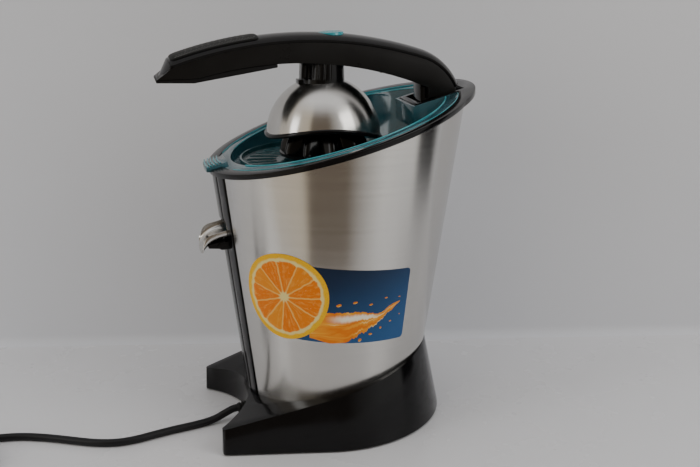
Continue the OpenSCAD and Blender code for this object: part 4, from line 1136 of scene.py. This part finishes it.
class CITRUS_OT_tray(bpy.types.Operator):
    """Make the see-through tray with its bright lips, and the strainer"""

    bl_idname = "citrus.tray"
    bl_label = "Tray and strainer"

    def execute(self, context):
        settle(softened("juice_tray", "tray_bowl", 0.25, 2), "housing", "teal_clear", ("juice_tray",))
        b = settings().body
        top = b.rim_height / MM - 0.4
        for name, out, first, last in (("tray_outer_lip", -6.2, 22.0, 338.0),
                ("tray_inner_lip", -15.9, 24.0, 336.0)):
            back = out > -10
            line = []
            for i in range(241):
                front = math.radians(first + (last - first) * i / 240)
                around = -math.pi / 2 + front
                p = Vector(shell_point(around, out, along_to(around, out, top + 0.1)))
                if abs(p.x) < 26 and p.y > 60:
                    continue
                line.append(p)
            halves = [[p for p in line if p.x > 0 or p.y < 0 and p.x > 0], [p for p in line if p.x <= 0]]
            for side, part in zip(("right", "left"), halves):
                settle(swept(f"{name}_{side}", part, 0.45 if back else 0.55, 10), "housing", "teal_clear",
                    material="teal_edge")
        for i in range(5):
            out = 5.6 - 2.6 * i
            line = []
            for k in range(25):
                around = -math.pi / 2 + math.radians(-8.2 + 16.4 * k / 24)
                line.append(Vector(shell_point(around, out, along_to(around, out, b.rim_height / MM + 3.2))))
            settle(swept(f"tab_rib_{i + 1}", line, 0.62, 10), "housing", "teal_clear", material="teal_edge")
        self.strainer()
        return {"FINISHED"}

    def strainer(self):
        disc = softened("strainer", "strainer_disc", 0.3)
        settle(disc, "housing", "teal_dark", ("strainer",))
        bm = bmesh.new()
        bmesh.ops.create_cube(bm, size=1.0)
        bmesh.ops.scale(bm, vec=(24 * MM, 1.0 * MM, 0.9 * MM), verts=bm.verts)
        bmesh.ops.translate(bm, vec=(52 * MM, 0, 0), verts=bm.verts)
        bmesh.ops.bevel(bm, geom=list(bm.edges), offset=0.00022, segments=1, affect="EDGES")
        mesh = bpy.data.meshes.new("bar_shape")
        bm.to_mesh(mesh)
        bm.free()
        bar = link(bpy.data.objects.new("bar_shape", mesh))
        slots = settings().dome.bars
        places = [((0, AXIS_Y, 224.6), (0, 0, 2 * math.pi * (i + 0.5) / slots), 1.0) for i in range(slots)]
        repeated("strainer_bars", bar, places, "housing", "teal_dark")


class CITRUS_OT_reamers(bpy.types.Operator):
    """Make the ribbed reamers"""

    bl_idname = "citrus.reamers"
    bl_label = "Reamers"

    def execute(self, context):
        ribs = settings().dome.ribs
        self.reamer("large_reamer_cone", 228.7, 37.0, 50.0, ribs, "large_reamer", 3.0)
        self.reamer("small_reamer_cone", 228.8, 23.8, 36.0, 8, "small_reamer", 2.4)
        return {"FINISHED"}

    def reamer(self, name, z, radius, height, ribs, node, skirt):
        """A pointed cone whose radius swells into sharp ribs between hollow flutes."""
        around, rows = ribs * 24, 34
        rings = [[(0.001 * math.cos(2 * math.pi * k / around),
            AXIS_Y + 0.001 * math.sin(2 * math.pi * k / around), z + 0.05) for k in range(around)]]
        profile = [(radius - 0.6, 0.05), (radius, 0.5), (radius, skirt - 0.4), (radius - 0.5, skirt)]
        for r, h in profile:
            rings.append([(r * math.cos(2 * math.pi * k / around),
                AXIS_Y + r * math.sin(2 * math.pi * k / around), z + h) for k in range(around)])
        for i in range(rows + 1):
            t = i / rows
            ring = []
            base = (radius - 3.5) * (1 - t) * (1 + 0.72 * t) + 1.2 * t
            for k in range(around):
                a = 2 * math.pi * k / around
                peak = abs(math.cos(a * ribs / 2)) ** 5
                hollow = 0.17 * (1 - abs(math.cos(a * ribs / 2))) ** 1.3
                r = base * (1 + 0.10 * peak * (1 - 0.3 * t) - hollow * (1 - 0.5 * t))
                ring.append((r * math.cos(a), AXIS_Y + r * math.sin(a),
                    z + skirt + (height - skirt) * t + 0.6 * peak * (1 - t)))
            rings.append(ring)
        settle(loft(name, rings), "spindle", "black_gloss", (node,), sharp=50)


# ---------- spout ----------


class CITRUS_OT_spout(bpy.types.Operator):
    """Make the steel spout, its lever and its hinge"""

    bl_idname = "citrus.spout"
    bl_label = "Spout"

    def execute(self, context):
        self.scoop()
        settle(softened("spout_lever", "spout_lever_cam", 0.4), "spout", "black_matte", ("spout_lever",))
        self.mount()
        return {"FINISHED"}

    def scoop(self):
        """A pressed trough whose sides fall away round a beak that turns down."""
        stations = [(-82.5, 174.6, 166.4), (-88, 173.8, 166.2), (-93, 172.8, 165.3), (-98, 171.8, 163.4),
            (-102, 170.4, 160.8), (-105, 167.2, 158.0), (-107, 162.6, 155.6), (-107.8, 159.5, 154.2)]
        rows = smooth_line(stations, 4)
        points = []
        for i, (y, rim, floor) in enumerate(rows):
            pull = 1.0 - 0.16 * (i / (len(rows) - 1)) ** 3
            for k in range(29):
                u = -1 + k / 14
                x = 17.9 * pull * math.copysign(min(1.0, abs(u) * 1.12) ** 0.9, u)
                points.append((x, y + AXIS_Y + 1.2 * abs(u) ** 3 * i / len(rows),
                    floor + (rim - floor) * abs(u) ** 5))
        scoop = solid(build("spout_scoop", points, sheet_faces(len(rows), 29)), 1.0, 0.0)
        baked(scoop)
        settle(rounded(scoop, 0.35, 3, 50), "spout", "steel_bright", ("spout_lip",), sharp=60)

    def mount(self):
        """Two small ears that carry the spout's pin."""
        points, faces = [], []
        for side in (-1, 1):
            outline = [(-84.0, 159.0), (-84.0, 165.0),
                (-90.0, 164.8)] + [(-91.4 - 2.9 * math.sin(math.radians(a)),
                161.5 + 2.9 * math.cos(math.radians(a))) for a in range(0, 181, 20)]
            start, n = len(points), len(outline)
            for x in (18.7, 20.3):
                points += [(side * x, y + AXIS_Y, z) for y, z in outline]
            faces += [tuple(range(start, start + n)), tuple(range(start + 2 * n - 1, start + n - 1, -1))]
            faces += [(start + k, start + (k + 1) % n, start + n + (k + 1) % n, start + n + k)
                for k in range(n)]
        settle(rounded(build("spout_ears", points, faces), 0.3, 2, 50), "housing", "black_matte",
            ("spout_hinge",))


# ---------- arm ----------


class CITRUS_OT_arm(bpy.types.Operator):
    """Make the arm with its cover, grip, button and latch"""

    bl_idname = "citrus.arm"
    bl_label = "Arm"

    def execute(self, context):
        a = settings().arm
        settle(softened("arm_frame", "arm_body", 0.6, 3, 30), "arm", "black_gloss", ("arm_frame",),
            material="black_satin", sharp=30)
        settle(self.cover(a), "arm", "black_gloss", ("arm_cover", "arm_tail_cover"))
        settle(rounded(self.nose(), 0.8, 3, 45), "arm", "black_gloss")
        self.grip(a)
        settle(softened("lower_grip", "lower_grip_strip", 0.8, 3), "arm", "black_matte", ("lower_grip",))
        settle(self.button(), "button", "teal_clear", ("release_button",), material="teal_edge")
        settle(softened("dome_latch", "dome_latch_tongue", 0.4), "latch", "black_gloss", ("dome_latch",))
        dress("hinge_pin", "steel_bright")
        dress("arm_screws", "steel_bright")
        dress("button_spring", "steel_bright")
        return {"FINISHED"}

    def section(self, a):
        """The cover's cross-section as (x, out) pairs: a crowned top with soft shoulders and short sides."""
        half, skin = a.width / MM / 2, a.skin / MM
        top = []
        for i in range(25):
            x = -half + 2 * half * i / 24
            x = (
                half * math.sin(x / half * math.pi / 2) if abs(x) > half * 0.8
                else x / 0.8 * math.sin(0.8 * math.pi / 2) * 0.8)
            top.append((x, crown_at(x) - 0.9 * (abs(x) / half) ** 10))
        return [(-half + 0.3, -skin)] + top + [(half - 0.3, -skin)]

    def cover(self, a):
        section = self.section(a)
        rings = [[arm_point(i / 90, x, out) for x, out in section] for i in range(91)]
        cover = loft("arm_top_cover", rings)
        cutters = []
        for name, size, at in (("button_hole", None, None),
                ("tail_notch", (20.0, 60.0, 53.0), (0, PIN[0] + 30 + AXIS_Y, PIN[1] - 23.5))):
            if size:
                bm = bmesh.new()
                bmesh.ops.create_cube(bm, size=1.0)
                bmesh.ops.scale(bm, vec=Vector(size) * MM, verts=bm.verts)
                bmesh.ops.translate(bm, vec=Vector(at) * MM, verts=bm.verts)
                mesh = bpy.data.meshes.new(name)
                bm.to_mesh(mesh)
                bm.free()
                cutters.append(link(bpy.data.objects.new(name, mesh)))
            else:
                cutters.append(turned(name, [(0, 300), (10.8, 300), (10.8, 345), (0, 345)],
                    (0, 9 + AXIS_Y, 0), 64))
        # the tail keeps inside the hinge well's radius
        for cutter in cutters:
            cut = cover.modifiers.new("Cut", "BOOLEAN")
            cut.object = cutter
            cut.solver = "EXACT"
        baked(cover)
        for cutter in cutters:
            bpy.data.objects.remove(cutter)
        limit = 23.0 * MM
        pin = Vector((0, (PIN[0] + AXIS_Y) * MM, PIN[1] * MM))
        for v in cover.data.vertices:
            if v.co.y > pin.y and v.co.z < pin.z + 0.002:
                arm = Vector((0, v.co.y - pin.y, v.co.z - pin.z))
                if arm.length > limit:
                    arm *= limit / arm.length
                    v.co.y, v.co.z = pin.y + arm.y, pin.z + arm.z
        return rounded(cover, 0.35, 2, 40)

    def nose(self):
        """The sloping end cap, bowed forward, from the cover's end down to the lower strip."""
        rings = []
        for i in range(9):
            t = i / 8
            front, back = [], []
            for k in range(17):
                x = -17.6 + 2.2 * k
                bow = 1 - (x / 17.6) ** 2
                y = -120.6 - 2.6 * bow + (-4.6 - 3.4 * bow) * t
                z = 309.3 + 3.4 * bow + (-11.6 - 3.6 * bow) * t
                front.append((x, y + AXIS_Y, z))
                back.append((x * 0.985, y + AXIS_Y + 3.2, z))
            rings.append(front + back[::-1])
        return loft("arm_nose_cap", rings)

    def grip(self, a):
        """A raised rubber pad with rounded ends, and two rows of small pips along its edges."""
        first, last, half = arm_t(-17.0), arm_t(-4.6), 13.4
        rings = []
        count = 60
        for i in range(count + 1):
            t = i / count
            end = min(1.0, min(t, 1 - t) * count / 5)
            lift = math.sqrt(max(0.0, 1 - (1 - end) ** 2))
            wide = half * (0.86 + 0.14 * lift)
            at = first + (last - first) * t
            ring = [arm_point(at, wide * x, crown_at(wide * x) + 0.05
                + (1.75 - 0.6 * abs(x) ** 5) * (0.25 + 0.75 * lift))
                for x in (k / 12 for k in range(-12, 13))]
            ring += [arm_point(at, wide * x, crown_at(wide * x) + 0.02)
                for x in (k / 12 for k in range(12, -13, -1))]
            rings.append(ring)
        settle(loft("grip_pad_rubber", rings), "arm", "rubber", ("grip_pad",), sharp=60)
        shape = turned("pip_shape", [(0, -0.2), (0.42, 0), (0.36, 0.24), (0.2, 0.36), (0, 0.4)], (0, 0, 0),
            10)
        places = []
        run = (last - first) * (ARM_TOP[1] * (BEND_FROM - NOSE) + ARM_BEND[1] * (BEND_TO - BEND_FROM))
        steps = int(run / (a.stitch_gap / MM))
        for i in range(2, steps - 1):
            at = first + (last - first) * i / steps
            _, _, lean = arm_frame_at(at)
            for row in (-1, 1):
                for x, out in ((row * 12.6, 1.45), (row * 11.2, 1.7)):
                    shift = 0.5 if out > 1.6 else 0.0
                    p = arm_point(at + shift * (last - first) / steps, x, crown_at(x) + out - 0.15)
                    places.append((p, (-lean, 0, 0), 1.0))
        for i in range(6, steps - 4, 2):
            at = first + (last - first) * i / steps
            _, _, lean = arm_frame_at(at)
            for x in (-8, -4, 0, 4, 8):
                places.append((arm_point(at, x, crown_at(x) + 1.75), (-lean, 0, 0), 1.0))
        repeated("grip_pips", shape, places, "arm", "rubber", material="stitch_grey", sharp=60)

    def button(self):
        """A round key with a shallow hollow for the thumb."""
        top = 326.6
        profile = [(0, top - 17), (2.6, top - 17), (2.8, top - 16.6), (2.8, top - 7), (10.0, top - 7),
            (10.5, top - 6.6), (10.5, top - 0.9), (10.25, top - 0.3), (9.7, top)]
        profile += [(9.0 * (1 - i / 10), top - 0.1 - 0.8 * (1 - (1 - i / 10) ** 2)) for i in range(11)]
        return turned("release_key", profile, (0, 9 + AXIS_Y, 0), 64)


# ---------- dome ----------


class CITRUS_OT_dome(bpy.types.Operator):
    """Make the pressing dome with its trim, liner and neck"""

    bl_idname = "citrus.dome"
    bl_label = "Dome"

    def execute(self, context):
        d = settings().dome
        r = d.radius / MM
        settle(solid(self.cap("dome_steel_cap", r, 0.0), 0.8), "arm", "dome_steel", ("dome_shell",), sharp=60)
        settle(solid(self.cap("dome_inner_cap", r - 0.86, 0.3), 2.1), "arm", "black_gloss", ("dome_liner",
            ), sharp=60)
        settle(self.trim(r), "arm", "black_gloss", ("dome_rim",), sharp=40)
        neck = baked(softened("dome_holder", "dome_neck", 0.4, 2))
        for v in neck.data.vertices:
            out = math.hypot(v.co.x, v.co.y - AXIS_Y * MM)
            if out > 0.0188 and v.co.z < 0.305:
                v.co.x *= 0.0187 / out
                v.co.y = AXIS_Y * MM + (v.co.y - AXIS_Y * MM) * 0.0187 / out
        settle(neck, "arm", "black_gloss", ("dome_holder",))
        return {"FINISHED"}

    def cap(self, name, r, lift):
        """The dome's skin, from its arched edge up to the neck."""
        around, rows, place = 144, 30, dome_matrix()
        points, grain = [], []
        for i in range(rows + 1):
            for k in range(around + 1):
                a = 2 * math.pi * k / around
                low = 0.0
                for _ in range(8):
                    low = math.asin(min(0.95, (arch_at(r * math.cos(low) * math.sin(a)) + lift) / r))
                e = low + (math.radians(76) - low) * i / rows
                points.append(place @ Vector((r * math.cos(e) * math.cos(a), r * math.cos(e) * math.sin(a),
                    r * math.sin(e))))
                grain.append((a * 0.047, e * 0.047))
        return build(name, points, sheet_faces(rows + 1, around + 1), {"Grain": grain})

    def trim(self, r):
        """A rounded band that follows the arched edge."""
        around, place = 180, dome_matrix()
        rings = []
        for k in range(around):
            a = 2 * math.pi * k / around
            low = 0.0
            for _ in range(8):
                low = math.asin(min(0.95, arch_at(r * math.cos(low) * math.sin(a)) / r))
            e, flat = r * math.cos(low), arch_at(r * math.cos(low) * math.sin(a))
            section = [(e + 0.3, flat + 0.35), (e + 1.1, flat + 0.1), (e + 1.6, flat - 0.6),
                (e + 1.6, flat - 2.4), (e + 1.2, flat - 3.1), (e + 0.5, flat - 3.4), (e - 2.3, flat - 3.4),
                (e - 2.9, flat - 3.0), (e - 3.1, flat - 2.2), (e - 3.1, flat - 0.2), (e - 0.9, flat + 0.05)]
            rings.append([place @ Vector((s * math.cos(a), s * math.sin(a), h)) for s, h in section])
        n = len(rings[0])
        faces = [(k * n + j, k * n + (j + 1) % n, ((k + 1) % around) * n + (j + 1) % n,
            ((k + 1) % around) * n + j) for k in range(around) for j in range(n)]
        return build("dome_edge_trim", [p for ring in rings for p in ring], faces)


# ---------- drive ----------


class CITRUS_OT_drive(bpy.types.Operator):
    """Give the motor, gears and other inner pieces their finishes"""

    bl_idname = "citrus.drive"
    bl_label = "Drive finishes"

    def execute(self, context):
        plain = {
            "black_matte": ("chassis", "gearbox_housing", "gearbox_cover", "cooling_fan", "shaft_tower",
            "micro_switch", "cord_clamp"),
            "steel_bright": ("gearbox_screws", "motor_can", "drive_shaft", "thrust_washer", "return_spring"),
            "copper": ("motor_stator", "motor_rotor"),
            "bronze": ("shaft_bush",),
            "gear_white": ("intermediate_gear", "output_gear", "terminal_block"),
            "orange_film": ("capacitor",),
        }
        for material, nodes in plain.items():
            for node in nodes:
                dress(node, material)
        return {"FINISHED"}


# ---------- stage ----------


class CITRUS_OT_stage(bpy.types.Operator):
    """Set the table, the wall, the lights and the camera"""

    bl_idname = "citrus.stage"
    bl_label = "Stage"

    def execute(self, context):
        self.camera(context.scene)
        s = settings().stage
        self.room(s)
        self.ground(s)
        self.light("window_light", (0.88, 0.84, 0.85), (0, 0.02, 0.14), 0.6, 0.75, s.window * 0.42,
            (1.0, 0.985, 0.96))
        self.light("left_light", (0.35, -1.25, 0.55), (0, 0, 0.15), 0.35, 0.9, s.window * 0.32,
            (0.96, 0.98, 1.0))
        return {"FINISHED"}

    def camera(self, scene):
        data = bpy.data.cameras.new("Camera")
        data.lens, data.sensor_width = 50.955, 36.0
        data.clip_start, data.clip_end = 0.02, 20.0
        camera = link(bpy.data.objects.new("Camera", data))
        yaw, pitch, roll = (math.radians(x) for x in (13.317, 16.285, -1.841))
        ahead = Vector((-math.cos(yaw), math.sin(yaw), 0))
        right = Vector((math.sin(yaw), math.cos(yaw), 0))
        forward = ahead * math.cos(pitch) - Vector((0, 0, 1)) * math.sin(pitch)
        up = ahead * math.sin(pitch) + Vector((0, 0, 1)) * math.cos(pitch)
        cx = right * math.cos(roll) + up * math.sin(roll)
        cy = -right * math.sin(roll) + up * math.cos(roll)
        camera.matrix_world = Matrix.Translation((0.792, -0.1647, 0.3937)) @ Matrix((cx, cy,
            -forward)).transposed().to_4x4()
        scene.camera = camera

    def room(self, s):
        """The room: plain walls, a dim corner, a bright side, a dark gap and a lighter ceiling."""
        world = bpy.data.worlds.new("Room")
        bpy.context.scene.world = world
        world.use_nodes = True
        tree = world.node_tree
        back = tree.nodes["Background"]
        parts = new_node(tree, "ShaderNodeSeparateXYZ")
        tree.links.new(tree.nodes.new("ShaderNodeTexCoord").outputs["Generated"], parts.inputs[0])
        turn = maths(tree, "DIVIDE", maths(tree, "ARCTAN2", parts.outputs[1], parts.outputs[0]), 2 * math.pi)
        ramp = tree.nodes.new("ShaderNodeValToRGB")
        tree.links.new(maths(tree, "ADD", turn, 0.5), ramp.inputs[0])
        plain, warm, dim = (0.55, 0.55, 0.56), (0.60, 0.53, 0.42), (0.15, 0.12, 0.09)
        bright, dark = (0.75, 0.74, 0.72), (0.01, 0.01, 0.01)
        # turning once round the room: plain walls, a dim corner, the bright side, then a dark gap
        stops = [
            (0.0, plain), (0.38, warm), (0.40, dim), (0.50, dim), (0.60, bright),
            (0.69, bright), (0.70, dark), (0.75, dark), (0.77, plain), (1.0, plain)]
        while len(ramp.color_ramp.elements) < len(stops):
            ramp.color_ramp.elements.new(0.5)
        for element, (at, colour) in zip(ramp.color_ramp.elements, stops):
            element.position = at
            element.color = (*colour, 1.0)
        height = spread(tree, parts.outputs[2], 0.66, 0.985, soft=True)
        tree.links.new(mixed(tree, height, ramp.outputs[0], (0.92, 0.92, 0.93)), back.inputs["Color"])
        back.inputs["Strength"].default_value = s.room

    def ground(self, s):
        far, near = Vector((-0.239, -0.303, 0)), Vector((-0.046, 0.400, 0))
        run = (near - far).normalized()
        out = Vector((-run.y, run.x, 0))
        mid = (far + near) / 2
        # table, then a small cove, then the wall
        profile = [(-0.44, 0.0), (-0.3, 0.0), (-0.2, 0.0),
            (-0.02, 0.0)] + [(-0.01 + 0.01 * math.sin(a), 0.01 - 0.01 * math.cos(a))
            for a in (math.radians(15 * i) for i in range(1, 7))] + [(0.0, 0.2), (0.0, 0.8), (0.0, 1.5)]
        table = [p for p in profile if p[1] < 0.0005]
        wall = profile[len(table) - 1:]
        for name, part, finish_name in (("table_top", table, self.table(s)), ("wall", wall, self.wall(s))):
            points = []
            for d, z in part:
                for k in (-1.6, -0.8, 0.0, 0.26, 0.52):
                    points.append((mid + run * k + out * d + Vector((0, 0, z))) / MM)
            obj = build(name, points, sheet_faces(len(part), 5))
            want = Vector((0, 0, 1)) if name == "table_top" else -out
            if (
                    obj.data.polygons[0].normal.dot(want) < 0 and name == "table_top"
                    or name == "wall" and obj.data.polygons[-1].normal.dot(want) < 0):
                obj.data.flip_normals()
            obj.data.materials.append(finish_name)
            obj.data.shade_smooth()

    def table(self, s):
        material, tree, shader, place = new_material("White table")
        marks = group(tree, smudge_group, Scale=6.0, Dust_scale=90.0)
        tree.links.new(place, marks.inputs["Place"])
        base = tuple(s.table)
        tree.links.new(mixed(tree, maths(tree, "MULTIPLY", marks.outputs["Smudge"], 0.4), base,
            tuple(c * 0.95 for c in base)), shader.inputs["Base Color"])
        tree.links.new(spread(tree, marks.outputs["Smudge"], 0.0, 1.0, 0.24, 0.32),
            shader.inputs["Roughness"])
        set_plain(shader, Specular_IOR_Level=0.4)
        return material

    def wall(self, s):
        """Plain wall that can be looked through from behind."""
        material, tree, shader, place = new_material("Pale wall")
        cloud = new_node(tree, "ShaderNodeTexNoise", Scale=3.0, Detail=2.0)
        tree.links.new(place, cloud.inputs["Vector"])
        base = tuple(s.wall)
        tree.links.new(mixed(tree, cloud.outputs["Fac"], base, tuple(c * 0.96 for c in base)),
            shader.inputs["Base Color"])
        set_plain(shader, Roughness=0.9)
        side = tree.nodes.new("ShaderNodeNewGeometry")
        clear = tree.nodes.new("ShaderNodeBsdfTransparent")
        blend = tree.nodes.new("ShaderNodeMixShader")
        tree.links.new(side.outputs["Backfacing"], blend.inputs[0])
        tree.links.new(shader.outputs[0], blend.inputs[1])
        tree.links.new(clear.outputs[0], blend.inputs[2])
        tree.links.new(blend.outputs[0], tree.nodes["Material Output"].inputs["Surface"])
        return material

    def light(self, name, place, aim, wide, tall, power, colour):
        data = bpy.data.lights.new(name, "AREA")
        data.shape = "RECTANGLE"
        data.size, data.size_y = wide, tall
        data.energy = power
        data.color = colour
        lamp = link(bpy.data.objects.new(name, data))
        lamp.location = place
        lamp.rotation_mode = "QUATERNION"
        lamp.rotation_quaternion = (Vector(aim) - Vector(place)).to_track_quat("-Z", "Y")


# ---------- panel and registration ----------

STEPS = (
    CITRUS_OT_stage, CITRUS_OT_cord, CITRUS_OT_base, CITRUS_OT_shell, CITRUS_OT_rim, CITRUS_OT_tray,
    CITRUS_OT_reamers, CITRUS_OT_spout, CITRUS_OT_arm, CITRUS_OT_dome, CITRUS_OT_drive)


class CITRUS_PT_press(bpy.types.Panel):
    """Lists the making steps and the main settings"""

    bl_idname = "CITRUS_PT_press"
    bl_label = "Citrus Press"
    bl_space_type = "VIEW_3D"
    bl_region_type = "UI"
    bl_category = "Citrus Press"

    def draw(self, context):
        column = self.layout.column(align=True)
        for step in STEPS:
            column.operator(step.bl_idname)
        values = context.scene.citrus_press
        for block in (values.body, values.arm, values.dome, values.cord, values.colours, values.stage):
            box = self.layout.box()
            for key in block.__annotations__:
                box.prop(block, key)


CLASSES = (
    CitrusBodySizes, CitrusArmSizes, CitrusDomeSizes, CitrusCordSizes, CitrusColours, CitrusStageSettings,
    CitrusPressSettings, *STEPS, CITRUS_PT_press)


def register():
    for item in CLASSES:
        bpy.utils.register_class(item)
    bpy.types.Scene.citrus_press = PointerProperty(type=CitrusPressSettings)


def unregister():
    del bpy.types.Scene.citrus_press
    for item in reversed(CLASSES):
        bpy.utils.unregister_class(item)


def main():
    register()
    for step in STEPS:
        family, name = step.bl_idname.split(".")
        getattr(getattr(bpy.ops, family), name)()


if __name__ == "__main__":
    main()
